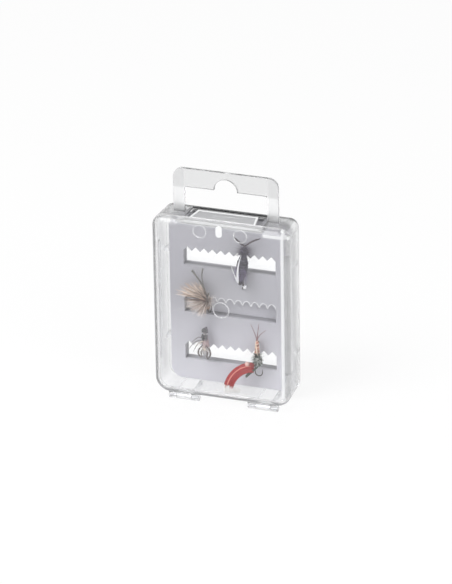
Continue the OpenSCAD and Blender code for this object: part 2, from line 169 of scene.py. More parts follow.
def feed(tree, socket, value):
    """Feeds an input from another node's output, or sets it to a plain value."""
    if isinstance(value, bpy.types.NodeSocket):
        tree.links.new(value, socket)
    else:
        socket.default_value = value


def fill(tree, node, inputs):
    """Feeds a node's inputs, given by name or number."""
    for name, value in inputs.items():
        feed(tree, node.inputs[name], value)
    return node


def add(tree, kind, inputs=None, **settings):
    """A new node of that kind with its settings and its inputs fed."""
    made = tree.nodes.new(kind)
    for name, value in settings.items():
        setattr(made, name, value)
    return fill(tree, made, inputs or {})


def math_node(tree, operation, first, second=0.0):
    """Result of a Math node."""
    return add(tree, "ShaderNodeMath", {0: first, 1: second}, operation=operation).outputs[0]


def scaled(tree, vector, factor):
    """A vector or colour times a number."""
    return add(tree, "ShaderNodeVectorMath", {0: vector, "Scale": factor}, operation="SCALE").outputs[0]


def vector_sum(tree, first, second):
    """Sum of two vectors."""
    return add(tree, "ShaderNodeVectorMath", {0: first, 1: second}, operation="ADD").outputs[0]


def mixed(tree, factor, first, second, blend="MIX"):
    """A blend of two colours."""
    inputs = {"Factor": factor, 6: first, 7: second}
    return add(tree, "ShaderNodeMix", inputs, data_type="RGBA", blend_type=blend).outputs[2]


def mixed_shaders(tree, factor, first, second):
    """A blend of two shader nodes."""
    inputs = {"Fac": factor, 1: first.outputs[0], 2: second.outputs[0]}
    return add(tree, "ShaderNodeMixShader", inputs)


def mapped(tree, value, span, ends=(0.0, 1.0), kind="LINEAR"):
    """Maps a number from a span to its ends, and holds it there outside the span."""
    inputs = {"Value": value, "From Min": span[0], "From Max": span[1], "To Min": ends[0], "To Max": ends[1]}
    return add(tree, "ShaderNodeMapRange", inputs, interpolation_type=kind).outputs[0]


def rising(tree, value, low, high):
    """0 below low, 1 above high and smooth between them; in millimetres."""
    return mapped(tree, value, (low * MM, high * MM), kind="SMOOTHSTEP")


def place_in(tree):
    """Object coordinates, whole and as X, Y and Z."""
    place = add(tree, "ShaderNodeTexCoord").outputs["Object"]
    parts = add(tree, "ShaderNodeSeparateXYZ", {0: place}).outputs
    return place, parts["X"], parts["Y"], parts["Z"]


def noise(tree, place, scale, detail=2.0):
    """Noise at a place."""
    return add(tree, "ShaderNodeTexNoise", {"Vector": place, "Scale": scale, "Detail": detail}).outputs["Fac"]


# --- shader groups -------------------------------------------------------------------------------


def new_group(name, inputs, outputs):
    """A shader group, its input node's outputs and its output node; an input without a value is a colour."""
    made = bpy.data.node_groups.new(name, "ShaderNodeTree")
    for label, value in inputs.items():
        kind = "NodeSocketColor" if value is None else "NodeSocketFloat"
        socket = made.interface.new_socket(label, in_out="INPUT", socket_type=kind)
        if value is not None:
            socket.default_value = value
    for label in outputs:
        kind = "NodeSocketColor" if label == "Color" else "NodeSocketFloat"
        made.interface.new_socket(label, in_out="OUTPUT", socket_type=kind)
    return made, add(made, "NodeGroupInput").outputs, add(made, "NodeGroupOutput")


def moulding_group():
    """Shader group: faint mottling and waviness of moulded plastic, with its colour, roughness and height."""
    made = bpy.data.node_groups.get("moulding")
    if made:
        return made
    inputs = {"Color": None, "Roughness": 0.3, "Grain Size": 900.0, "Mottle": 0.04, "Haze": 0.03}
    made, get, out = new_group("moulding", inputs, ("Color", "Roughness", "Height"))
    place = place_in(made)[0]
    grain = noise(made, place, get["Grain Size"], 4.0)
    flow = noise(made, place, 38.0)
    shade = math_node(made, "MULTIPLY", math_node(made, "SUBTRACT", flow, 0.5), get["Mottle"])
    haze = math_node(made, "MULTIPLY", grain, get["Haze"])
    fill(made, out, {
        "Color": scaled(made, get["Color"], math_node(made, "ADD", shade, 1.0)),
        "Roughness": math_node(made, "ADD", haze, get["Roughness"]),
        "Height": math_node(made, "ADD", grain, flow),
    })  # fmt: skip
    return made


def zones_group():
    """Shader group: where a point lies on the clear box, as masks of its walls, edges and marks.

    Each mask is made of soft steps at places on the CAD part, in millimetres.
    """
    made = bpy.data.node_groups.get("box zones")
    if made:
        return made
    names = ("Rim", "Edge", "Top", "Back Edge", "Pocket", "Raised And Gleam", "Gate", "Bar", "Window", "Grip")
    made, get, out = new_group("box zones", {"Rim Amount": 1.0}, names)
    _, across, back, up = place_in(made)
    out_by = math_node(made, "ABSOLUTE", across)

    def rise(value, low, high):
        return rising(made, value, low, high)

    def fall(value, low, high):
        return math_node(made, "SUBTRACT", 1.0, rise(value, low, high))

    def within(value, *edges):
        """1 between the second and the third edge, and 0 outside the first and the last."""
        return both(rise(value, *edges[:2]), fall(value, *edges[2:]))

    def both(*masks):
        return reduce(lambda first, second: math_node(made, "MULTIPLY", first, second), masks)

    def either(*masks):
        return reduce(lambda first, second: math_node(made, "MAXIMUM", first, second), masks)

    # Walls: their rims, cut edges and top, and the pocket under the latch tongue.
    beside_tab = rise(out_by, 20.2, 20.7)
    rim = either(rise(out_by, 29.0, 30.0), fall(up, 6.4, 7.4), both(rise(up, 88.6, 89.4), beside_tab))
    top_edge = both(rise(up, 90.9, 91.5), beside_tab)
    edge = either(rise(out_by, 30.3, 31.0), within(up, 3.0, 3.4, 4.4, 5.1), top_edge)
    top = both(within(up, 90.9, 91.3, 92.8, 93.0), rise(back, -6.2, -5.9))
    back_edge = both(rise(up, 89.9, 90.5), rise(back, 6.4, 7.0))
    pocket = both(within(up, 88.6, 89.0, 90.45, 90.6), fall(out_by, 18.3, 18.6), rise(back, -5.4, -5.0))

    # The hang tab's window: its sill, the round notch for a peg and the jambs.
    flat = add(made, "ShaderNodeCombineXYZ", {"X": across, "Z": up}).outputs[0]
    inputs = {0: flat, 1: (0, 0, 104.1 * MM)}
    from_peg = add(made, "ShaderNodeVectorMath", inputs, operation="DISTANCE").outputs["Value"]
    sill = both(within(up, 103.9, 104.0, 104.3, 104.5), fall(out_by, 19.7, 19.9))
    notch = both(fall(from_peg, 5.9, 6.1), rise(up, 103.9, 104.0))
    jamb = both(fall(out_by, 19.85, 20.0), fall(up, 104.2, 104.3))

    # The lid's rings and thumb nub, and a painted highlight along the fillet inside its right and top edges
    # (the gleam).
    ring = both(within(back, -8.44, -8.42, -8.15, -8.05), fall(out_by, 13.6, 14.0), fall(up, 91.0, 91.1))
    nub = both(fall(back, -9.8, -9.77), fall(out_by, 2.0, 2.2))
    fillet = within(back, -8.85, -8.75, -6.6, -6.3)
    right = both(rise(across, 29.0, 29.2), fall(out_by, 30.4, 30.6), rise(up, 6.5, 8.5))
    lintel = both(within(up, 87.9, 88.3, 89.6, 89.8), rise(across, 20.4, 20.9))
    gleam = both(fillet, either(right, lintel), 0.85)

    # The slab behind the latch tongue, the tongue's raised border and the strip in front of them.
    beside_slab = fall(out_by, 20.5, 20.7)
    slab = both(rise(up, 91.0, 91.1), beside_slab, fall(back, -5.95, -5.9), 0.3)
    strip = both(within(up, 89.7, 90.0, 91.1, 91.2), beside_slab, rise(back, -8.7, -8.6), 0.4)
    border = both(rise(up, 91.94, 92.0), fall(out_by, 16.2, 16.5), rise(back, -5.95, -5.9))

    # The ribs inside the tray's side walls that grip the rack.
    low_and_high = either(within(up, 25.0, 25.3, 27.1, 27.4), within(up, 69.0, 69.3, 71.1, 71.4))
    grip = both(within(out_by, 28.9, 29.1, 31.5, 31.7), within(back, 2.6, 2.9, 9.2, 9.4), low_and_high)

    fill(made, out, {
        "Rim": both(rim, get["Rim Amount"]),
        "Edge": edge,
        "Top": top,
        "Back Edge": back_edge,
        "Pocket": pocket,
        "Raised And Gleam": either(both(ring, 0.6), nub, gleam),
        "Gate": either(slab, strip, border),
        "Bar": rise(up, 103.6, 104.4),
        "Window": either(sill, notch, jamb),
        "Grip": grip,
    })  # fmt: skip
    return made


def strand_group():
    """Shader group: colour of a strand that changes from root to tip and from strand to strand."""
    made = bpy.data.node_groups.get("strand")
    if made:
        return made
    made, get, out = new_group("strand", {"Root": None, "Tip": None, "Variation": 0.5}, ("Color",))
    along = add(made, "ShaderNodeAttribute", attribute_name="along").outputs["Fac"]
    strand = add(made, "ShaderNodeAttribute", attribute_name="strand").outputs["Fac"]
    swing = math_node(made, "MULTIPLY", math_node(made, "SUBTRACT", strand, 0.5), get["Variation"])
    blend = mixed(made, along, get["Root"], get["Tip"])
    fill(made, out, {"Color": scaled(made, blend, math_node(made, "ADD", swing, 1.0))})
    return made


def group(tree, shader_group, **values):
    """Outputs of a placed node group with its inputs set by name, where _ stands for a space."""
    made = add(tree, "ShaderNodeGroup", node_tree=shader_group)
    for name, value in values.items():
        whole = value if isinstance(value, float) else (*value, 1.0)
        made.inputs[name.replace("_", " ")].default_value = whole
    return made.outputs


# --- materials -----------------------------------------------------------------------------------


def toned(rgb, times):
    """A colour made darker or lighter."""
    return tuple(times * part for part in rgb)


def blank_material(name):
    """A new material with its tree and its Principled shader."""
    made = bpy.data.materials.new(name)
    made.use_nodes = True
    return made, made.node_tree, made.node_tree.nodes["Principled BSDF"]


def bump(tree, height, strength, distance_mm):
    """A Bump node's Normal from a height."""
    inputs = {"Strength": strength, "Distance": distance_mm * MM, "Height": height}
    return add(tree, "ShaderNodeBump", inputs).outputs["Normal"]


def plastic(name, rgb, rough):
    """Opaque moulded plastic."""
    made, tree, shader = blank_material(name)
    skin = group(tree, moulding_group(), Color=rgb, Roughness=rough, Mottle=0.05, Haze=0.08)
    normal = bump(tree, skin["Height"], 0.12, 0.02)
    fill(tree, shader, {
        "Base Color": skin["Color"], "Roughness": skin["Roughness"], "Normal": normal, "IOR": PLASTIC_IOR,
    })  # fmt: skip
    return made


def clear_plastic(name, look, painted_shades, raised_and_gleam=0.0, rough=0.0):
    """Clear moulded plastic: greyer at a slant by painted shade, milkier there, frosted round the rim,
    dimming light inside.

    The shades map a zone's name to the share of light that painted shade leaves there by darkening the
    plastic's colour; the raised factor is how much the raised marks, and the painted highlight along the
    lid's fillets, scatter;
    and rough is added roughness.
    """
    made, tree, shader = blank_material(name)
    clear_rough = look.clear_rough + rough
    skin = group(tree, moulding_group(), Color=look.clear_tint, Roughness=clear_rough, Mottle=0.01, Haze=0.03)
    zones = group(tree, zones_group(), Rim_Amount=1.0)
    # Painted shade: the colour greys towards the edge tint at a slant, for the darker surroundings seen
    # through slanting walls.
    slant = add(tree, "ShaderNodeLayerWeight", {"Blend": 0.35}).outputs["Facing"]
    steep = math_node(tree, "POWER", slant, 2.2)
    tint = mixed(tree, steep, skin["Color"], (*look.slant_shade_tint, 1))
    # Painted shade: each listed zone darkens the plastic's colour to the share of light given for it.
    for zone, kept in painted_shades.items():
        painted_shade = math_node(tree, "MULTIPLY", zones[zone], 1.0 - kept)
        tint = scaled(tree, tint, math_node(tree, "SUBTRACT", 1.0, painted_shade))
    frost = math_node(tree, "MULTIPLY", zones["Rim"], look.rim_rough)
    fill(tree, shader, {
        "Base Color": tint,
        "Roughness": math_node(tree, "ADD", skin["Roughness"], frost),
        "Normal": bump(tree, skin["Height"], 0.06, 0.02),
        "IOR": PLASTIC_IOR,
        "Transmission Weight": 1.0,
    })  # fmt: skip

    # Part of the light is scattered where the plastic is steep, frosted or ribbed, and along the lid's
    # fillets, where the scattered white is a painted highlight.
    rib_scatter = 0.6
    scatter = math_node(tree, "MULTIPLY", math_node(tree, "ADD", steep, zones["Rim"]), look.milk)
    frosted_and_gleam = math_node(tree, "MAXIMUM", zones["Raised And Gleam"], zones["Gate"])
    scatter = math_node(tree, "MAXIMUM", scatter, math_node(tree, "MULTIPLY", frosted_and_gleam, raised_and_gleam))
    scatter = math_node(tree, "MAXIMUM", scatter, math_node(tree, "MULTIPLY", zones["Grip"], rib_scatter))
    cloud = add(tree, "ShaderNodeBsdfDiffuse", {"Color": (*look.milk_colour, 1)})
    milky = mixed_shaders(tree, scatter, shader, cloud)

    # Shadows and soft light pass straight through.
    path = add(tree, "ShaderNodeLightPath").outputs
    passing = math_node(tree, "MAXIMUM", path["Is Shadow Ray"], path["Is Diffuse Ray"])
    through = add(tree, "ShaderNodeBsdfTransparent", {"Color": (0.96, 0.96, 0.965, 1)})
    surface = mixed_shaders(tree, passing, milky, through)
    absorbed = {"Color": (0.5, 0.51, 0.52, 1), "Density": look.clear_depth}
    fade = add(tree, "ShaderNodeVolumeAbsorption", absorbed)
    fill(tree, tree.nodes["Material Output"], {"Surface": surface.outputs[0], "Volume": fade.outputs[0]})
    return made


def rack_plastic(look):
    """Satin grey plastic with faint lavender patches; painted light makes it paler low down, painted shade
    darker inside the slots.
    """
    made, tree, shader = blank_material("rack plastic")
    rough = look.rack_rough
    skin = group(tree, moulding_group(), Color=look.rack_colour, Roughness=rough, Mottle=0.1, Haze=0.08)
    place, _, back, up = place_in(tree)
    # Painted light and shade: paler low down, darker inside the slots, and lighter again on the closed back
    # of the middle slot.
    height = mapped(tree, up, (8 * MM, 50 * MM), (1.3, 0.8))
    painted_slot_shade = math_node(tree, "MULTIPLY", rising(tree, back, 5.34, 5.4), -0.42)
    painted_pocket_light = math_node(tree, "MULTIPLY", rising(tree, back, 7.8, 7.9), rising(tree, up, 39.75, 40.2))
    level = math_node(tree, "ADD", painted_slot_shade, math_node(tree, "MULTIPLY", painted_pocket_light, 0.62))
    level = math_node(tree, "MULTIPLY", math_node(tree, "ADD", level, 1.0), height)
    lavender = (0.96, 0.94, 1, 1)
    patches = noise(tree, place, 30.0, 1.0)
    fill(tree, shader, {
        "Base Color": mixed(tree, patches, scaled(tree, skin["Color"], level), lavender, "MULTIPLY"),
        "Roughness": skin["Roughness"],
        "Normal": bump(tree, skin["Height"], 0.12, 0.02),
    })  # fmt: skip
    return made


def metal(name, rgb, rough):
    """Drawn wire: metal with fine brushing."""
    made, tree, shader = blank_material(name)
    skin = group(tree, moulding_group(), Color=rgb, Roughness=rough, Grain_Size=4200.0, Mottle=0.3, Haze=0.18)
    fill(tree, shader, {"Base Color": skin["Color"], "Roughness": skin["Roughness"], "Metallic": 1.0})
    return made


def strands(name, root, tip, variation=0.7, rough=0.55, sheen=0.3):
    """Feather or fur fibres."""
    made, tree, shader = blank_material(name)
    tint = group(tree, strand_group(), Root=root, Tip=tip, Variation=variation)
    fill(tree, shader, {"Base Color": tint["Color"], "Roughness": rough, "Sheen Weight": sheen})
    return made


def plain_strands(name, rgb):
    """Strands all of one colour."""
    return strands(name, rgb, rgb, 0.0)


def thread(name, rgb, dark):
    """Wound thread: fine wraps across the body with darker gaps."""
    made, tree, shader = blank_material(name)
    inputs = {"Vector": place_in(tree)[0], "Scale": 130.0, "Distortion": 1.2, "Detail": 3.0}
    wraps = add(tree, "ShaderNodeTexWave", inputs, bands_direction="Z").outputs["Fac"]
    fill(tree, shader, {
        "Base Color": mixed(tree, wraps, (*dark, 1), (*rgb, 1)),
        "Normal": bump(tree, wraps, 0.5, 0.05),
        "Roughness": 0.5,
        "Sheen Weight": 0.2,
    })  # fmt: skip
    return made


def banded_fur(name, bands, low, length):
    """Wound fur whose colour changes up the body: bands holds (share of its length, colour)."""
    made, tree, shader = blank_material(name)
    place, _, _, up = place_in(tree)
    ramp = add(tree, "ShaderNodeValToRGB", {"Fac": mapped(tree, up, (low, low + length))})
    elements = ramp.color_ramp.elements
    for part, _ in bands[2:]:
        elements.new(part)
    for element, (part, rgb) in zip(elements, bands):
        element.position = part
        element.color = (*rgb, 1)
    fill(tree, shader, {
        "Base Color": ramp.outputs["Color"],
        "Normal": bump(tree, noise(tree, place, 2400.0), 0.6, 0.1),
        "Roughness": 0.7,
        "Sheen Weight": 0.4,
    })  # fmt: skip
    return made


# --- meshes --------------------------------------------------------------------------------------


def piece(name, mesh, material, body=TRAY):
    """A finished piece from a mesh in the frame's own place."""
    made = bpy.data.objects.new(name, mesh)
    bpy.context.scene.collection.objects.link(made)
    mesh.materials.clear()
    mesh.materials.append(material)
    mesh.shade_smooth()
    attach(made, body)
    return made


def mesh_from(vertices, faces, name):
    """A mesh with outward faces."""
    mesh = bpy.data.meshes.new(name)
    mesh.from_pydata([tuple(v) for v in vertices], [], faces)
    work = bmesh.new()
    work.from_mesh(mesh)
    bmesh.ops.remove_doubles(work, verts=work.verts, dist=1e-7)
    bmesh.ops.recalc_face_normals(work, faces=work.faces)
    work.to_mesh(mesh)
    work.free()
    return mesh


def skin_faces(rings, around):
    """Faces of a closed skin over rings of points, capped at both ends."""
    faces = []
    for i in range(rings - 1):
        for k in range(around):
            after = (k + 1) % around
            faces.append((i * around + k, i * around + after, (i + 1) * around + after, (i + 1) * around + k))
    faces.append(tuple(reversed(range(around))))
    faces.append(tuple(range((rings - 1) * around, rings * around)))
    return faces


def tube_points(points, radii, sides, flat):
    """Rings of points round a run of points, with a radius at each; flat squashes them sideways."""
    vertices, side = [], None
    for i, point in enumerate(points):
        ahead = (points[min(i + 1, len(points) - 1)] - points[max(i - 1, 0)]).normalized()
        if side is None:
            side = ahead.orthogonal().normalized()
        side = (side - ahead * side.dot(ahead)).normalized()
        other = ahead.cross(side)
        for k in range(sides):
            angle = TAU * k / sides
            vertices.append(point + radii[i] * (math.cos(angle) * side + flat * math.sin(angle) * other))
    return vertices


def tubes(name, runs, sides=8, flat=1.0):
    """One mesh of several closed tubes, each given as (points, radii)."""
    vertices, faces = [], []
    for points, radii in runs:
        faces += [tuple(i + len(vertices) for i in face) for face in skin_faces(len(points), sides)]
        vertices += tube_points(points, radii, sides, flat)
    return mesh_from(vertices, faces, name)


def about(base, axis):
    """A function that places (radius, angle, distance along the axis) in the frame."""
    turn = UP.rotation_difference(Vector(axis)).to_matrix()

    def place(radius, angle, along):
        return Vector(base) + turn @ Vector((radius * math.cos(angle), radius * math.sin(angle), along))

    return place


def lathe(name, profile, base, axis=UP, around=40):
    """A closed turned form: profile is (radius, distance along the axis) from the base."""
    place = about(base, axis)
    vertices = [place(r, TAU * k / around, along) for r, along in profile for k in range(around)]
    return mesh_from(vertices, skin_faces(len(profile), around), name)


def rib(name, profile, base, axis, turns, wire_mm, start, end):
    """A wire wound round a body in a helix that follows its profile between two shares of its length."""
    place = about(base, axis)
    steps = int(turns * 18)
    points = []
    for i in range(steps + 1):
        spot = (start + (end - start) * i / steps) * (len(profile) - 1)
        low = int(spot)
        high = min(low + 1, len(profile) - 1)
        r, along = (a + (b - a) * (spot - low) for a, b in zip(profile[low], profile[high]))
        points.append(place(r, TAU * turns * i / steps, along))
    return tubes(name, [(points, [wire_mm * MM] * len(points))], sides=6)


def ball(radius_mm, half_height_mm, steps=16):
    """Profile of a bead."""
    angles = [math.pi * i / steps for i in range(steps + 1)]
    return [(radius_mm * math.sin(a) * MM + 1e-6, -half_height_mm * math.cos(a) * MM) for a in angles]


def groove(bite, turns, part):
    """Share of a wound body's radius that is left by the groove between turns."""
    return 1 - bite * (0.5 + 0.5 * math.cos(TAU * turns * part))


def round_profile(length, radius, narrowing, turns, bite, steps=64):
    """Radii along a wound body with rounded ends."""
    profile = []
    for i in range(steps + 1):
        t = i / steps
        r = radius * math.sqrt(max(math.sin(math.radians(6 + 168 * t)), 0)) * (1 - narrowing * t)
        profile.append((r * groove(bite, turns, t) + 0.02 * MM, length * t))
    return profile


def shaped_profile(points, length, turns, bite, steps=72):
    """Radii along a wound body through (share of its length, radius in millimetres) points."""
    profile = []
    for i in range(steps + 1):
        t = i / steps
        k = max(j for j in range(len(points) - 1) if points[j][0] <= t)
        (t0, r0), (t1, r1) = points[k], points[k + 1]
        part = (t - t0) / (t1 - t0)
        r = r0 + (r1 - r0) * (3 - 2 * part) * part * part
        profile.append((r * MM * groove(bite, turns, t), length * t))
    return profile


def direction(angle, tilt=0.0):
    """Unit vector at an angle from straight up towards +X, leaning forwards by tilt; both in degrees."""
    a, t = math.radians(angle), math.radians(tilt)
    return Vector((math.sin(a) * math.cos(t), -math.sin(t), math.cos(a) * math.cos(t)))


def smooth_run(points, radii, parts=5):
    """A finer run through points in millimetres, with its radii, both in metres."""
    spots = [Vector(p) * MM for p in points]
    last = len(spots) - 1
    fine, sizes = [], []
    for i in range(last):
        before, here, ahead, after = (spots[min(max(k, 0), last)] for k in (i - 1, i, i + 1, i + 2))
        for part in range(parts + (i == last - 1)):
            t = part / parts
            bend = (ahead - before) * t + (2 * before - 5 * here + 4 * ahead - after) * t * t
            bend += (3 * here - before - 3 * ahead + after) * t ** 3
            fine.append(here + bend / 2)
            sizes.append((radii[i] + (radii[i + 1] - radii[i]) * t) * MM)
    return fine, sizes


def smooth_runs(front, *runs):
    """Finer runs through (x, distance behind front, z) points, each with its radii; in millimetres."""
    return [smooth_run([(x, front - y, z) for x, y, z in points], radii) for points, radii in runs]


def quill_points(root, angle, tilt, length, droop, steps=12):
    """Points of a fibre that leaves root at an angle and bends sideways by droop of its length."""
    ahead = direction(angle, tilt)
    side = direction(angle + 90)
    shares = [i / steps for i in range(steps + 1)]
    return [Vector(root) + ahead * length * t + side * droop * length * t * t for t in shares]


def taper(root_r, tip_r, steps=12):
    """Radii from root to tip."""
    return [root_r + (tip_r - root_r) * i / steps for i in range(steps + 1)]


# --- geometry node trees -------------------------------------------------------------------------


def new_tree(name, ints, floats, vectors):
    """A geometry tree with named inputs, its input node's outputs and its output node."""
    tree = bpy.data.node_groups.new(name, "GeometryNodeTree")
    kinds = {"Int": ints, "Float": floats, "Vector": vectors}
    for kind, labels in {"Geometry": ["Geometry"], **kinds, "Material": ["Material"]}.items():
        for label in labels:
            tree.interface.new_socket(label, in_out="INPUT", socket_type="NodeSocket" + kind)
    tree.interface.new_socket("Geometry", in_out="OUTPUT", socket_type="NodeSocketGeometry")
    return tree, add(tree, "NodeGroupInput").outputs, add(tree, "NodeGroupOutput")


def randomly(tree, low, high, seed, offset):
    """A random number for each point, between two values, from the tree's seed."""
    made = add(tree, "FunctionNodeRandomValue", data_type="FLOAT")
    numbers = [socket for socket in made.inputs if socket.type == "VALUE"]
    for socket, value in zip(numbers, (low, high)):
        feed(tree, socket, value)
    feed(tree, made.inputs["Seed"], math_node(tree, "ADD", seed, float(offset)))
    return next(socket for socket in made.outputs if socket.type == "VALUE" and socket.enabled)


def keep_value(tree, geometry, name, value, domain):
    """Stores a named number on the geometry."""
    inputs = {"Name": name, "Geometry": geometry}
    made = add(tree, "GeometryNodeStoreNamedAttribute", inputs, data_type="FLOAT", domain=domain)
    feed(tree, next(socket for socket in made.inputs if socket.name == "Value" and socket.enabled), value)
    return made.outputs["Geometry"]


def unit_line(tree, count):
    """A straight curve one unit high with that many points."""
    line = add(tree, "GeometryNodeCurvePrimitiveLine", {"End": (0, 0, 1)}).outputs["Curve"]
    fine = add(tree, "GeometryNodeResampleCurve", {"Curve": line, "Count": count}, mode="COUNT")
    return fine.outputs["Curve"]


def along_curve(tree):
    """Share of the way along a curve."""
    return add(tree, "GeometryNodeSplineParameter").outputs["Factor"]


def fibre_on(tree, curve, thickness, low, high, sides=4):
    """A tapering closed fibre along a unit curve, with its share from root to tip stored as along.

    It has its thickness once it is scaled to the middle of low and high.
    """
    thinning = 0.82
    mean = math_node(tree, "MULTIPLY", math_node(tree, "ADD", low, high), 0.5)
    radius = math_node(tree, "DIVIDE", math_node(tree, "MULTIPLY", thickness, 0.5), mean)
    left = math_node(tree, "ADD", math_node(tree, "MULTIPLY", along_curve(tree), -thinning), 1.0)
    ring = add(tree, "GeometryNodeCurvePrimitiveCircle", {"Resolution": sides, "Radius": 1.0}, mode="RADIUS")
    skin = add(tree, "GeometryNodeCurveToMesh", {
        "Curve": keep_value(tree, curve, "along", along_curve(tree), "POINT"),
        "Profile Curve": ring.outputs["Curve"],
        "Scale": math_node(tree, "MULTIPLY", left, radius),
        "Fill Caps": True,
    })  # fmt: skip
    return skin.outputs["Mesh"]


def about_axis(tree, axis, angle):
    """A rotation about an axis."""
    return add(tree, "FunctionNodeAxisAngleToRotation", {"Axis": axis, "Angle": angle}).outputs[0]


def turned_then(tree, rotation, by):
    """A rotation turned again about its own axes."""
    inputs = {"Rotation": rotation, "Rotate By": by}
    return add(tree, "FunctionNodeRotateRotation", inputs, rotation_space="LOCAL").outputs[0]


def set_out(tree, get, out, root, fibre, rotation, scale):
    """Sets a fibre on each root, stores each one's own number, realizes them and sets their material."""
    points = add(tree, "GeometryNodePoints", {"Count": get["Count"], "Position": root}).outputs[0]
    inputs = {"Points": points, "Instance": fibre, "Rotation": rotation, "Scale": scale}
    instances = add(tree, "GeometryNodeInstanceOnPoints", inputs).outputs["Instances"]
    own = randomly(tree, 0.0, 1.0, get["Seed"], 9)
    kept = keep_value(tree, instances, "strand", own, "INSTANCE")
    real = add(tree, "GeometryNodeRealizeInstances", {"Geometry": kept}).outputs["Geometry"]
    painted = add(tree, "GeometryNodeSetMaterial", {"Geometry": real, "Material": get["Material"]})
    fill(tree, out, {"Geometry": painted.outputs["Geometry"]})


def spray_tree():
    """Geometry tree: tapered fibres that leave a short line of roots in a fan."""
    tree = bpy.data.node_groups.get("fibre spray")
    if tree:
        return tree
    floats = (
        "Angle From", "Angle To", "Tilt From", "Tilt To", "Length From", "Length To",
        "Uneven", "Thickness", "Curl",
    )  # fmt: skip
    tree, get, out = new_tree("fibre spray", ("Count", "Seed"), floats, ("Root", "Run"))
    seed = get["Seed"]
    last = math_node(tree, "MAXIMUM", math_node(tree, "SUBTRACT", get["Count"], 1.0), 1.0)
    place = math_node(tree, "DIVIDE", add(tree, "GeometryNodeInputIndex").outputs[0], last)

    def between(low, high, at):
        rise = math_node(tree, "MULTIPLY", math_node(tree, "SUBTRACT", high, low), at)
        return math_node(tree, "ADD", low, rise)

    sideways = math_node(tree, "MULTIPLY", math_node(tree, "POWER", along_curve(tree), 2.0), get["Curl"])
    offset = add(tree, "ShaderNodeCombineXYZ", {"X": sideways}).outputs[0]
    bent = add(tree, "GeometryNodeSetPosition", {"Geometry": unit_line(tree, 6), "Offset": offset})
    fibre = fibre_on(tree, bent.outputs["Geometry"], get["Thickness"], get["Length From"], get["Length To"])

    shake = 0.03
    shaken = math_node(tree, "ADD", place, randomly(tree, -shake, shake, seed, 2))
    lean = add(tree, "ShaderNodeCombineXYZ", {
        "X": randomly(tree, get["Tilt From"], get["Tilt To"], seed, 3),
        "Y": between(get["Angle From"], get["Angle To"], shaken),
    })  # fmt: skip
    leaning = add(tree, "FunctionNodeEulerToRotation", {0: lean.outputs[0]}).outputs[0]
    spin = about_axis(tree, (0, 0, 1), randomly(tree, 0.0, TAU, seed, 4))
    root = vector_sum(tree, get["Root"], scaled(tree, get["Run"], randomly(tree, 0.0, 1.0, seed, 1)))
    shorter = math_node(tree, "MULTIPLY", randomly(tree, 0.0, 1.0, seed, 5), get["Uneven"])
    length = between(get["Length From"], get["Length To"], place)
    length = math_node(tree, "MULTIPLY", length, math_node(tree, "SUBTRACT", 1.0, shorter))
    set_out(tree, get, out, root, fibre, turned_then(tree, leaning, spin), length)
    return tree


def arc_tree():
    """Geometry tree: fibres that follow an arc side by side, as barbs do along a curled feather."""
    tree = bpy.data.node_groups.get("arc fibres")
    if tree:
        return tree
    floats = ("Inner", "Outer", "Start", "Sweep", "Loose", "Depth", "Thickness", "Lean")
    tree, get, out = new_tree("arc fibres", ("Count", "Seed"), floats, ("Centre",))
    seed = get["Seed"]
    angle = math_node(tree, "MULTIPLY", along_curve(tree), get["Sweep"])
    spot = add(tree, "ShaderNodeCombineXYZ", {
        "X": math_node(tree, "COSINE", angle),
        "Z": math_node(tree, "SINE", angle),
    })  # fmt: skip
    inputs = {"Geometry": unit_line(tree, 14), "Position": spot.outputs[0]}
    bent = add(tree, "GeometryNodeSetPosition", inputs)
    fibre = fibre_on(tree, bent.outputs["Geometry"], get["Thickness"], get["Inner"], get["Outer"])

    forward = randomly(tree, math_node(tree, "MULTIPLY", get["Depth"], -1.0), get["Depth"], seed, 1)
    away = add(tree, "ShaderNodeCombineXYZ", {"Y": forward}).outputs[0]
    inputs = {"Vector": away, "Angle": get["Lean"]}
    leaning = add(tree, "ShaderNodeVectorRotate", inputs, rotation_type="X_AXIS").outputs[0]
    root = vector_sum(tree, get["Centre"], leaning)
    loose = math_node(tree, "MULTIPLY", randomly(tree, 0.0, 1.0, seed, 2), get["Loose"])
    start = about_axis(tree, (0, -1, 0), math_node(tree, "ADD", get["Start"], loose))
    turned = turned_then(tree, about_axis(tree, (1, 0, 0), get["Lean"]), start)
    set_out(tree, get, out, root, fibre, turned, randomly(tree, get["Inner"], get["Outer"], seed, 3))
    return tree


def grown(name, tree, material, slot, body=TRAY, **values):
    """A piece made by a geometry tree, with its inputs set by name, where _ stands for a space."""
    seedbed = bpy.data.meshes.new(name)
    made = bpy.data.objects.new(name, seedbed)
    bpy.context.scene.collection.objects.link(made)
    modifier = made.modifiers.new(name, "NODES")
    modifier.node_group = tree
    sockets = {i.name: i.identifier for i in tree.interface.items_tree if i.in_out == "INPUT"}
    modifier[sockets["Material"]] = material
    for label, value in values.items():
        modifier[sockets[label.replace("_", " ")]] = value
    graph = bpy.context.evaluated_depsgraph_get()
    result = made.evaluated_get(graph)
    mesh = bpy.data.meshes.new_from_object(result, preserve_all_data_layers=True, depsgraph=graph)
    made.modifiers.remove(modifier)
    made.data = mesh
    mesh.name = name
    mesh.shade_smooth()
    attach(made, body)
    return made


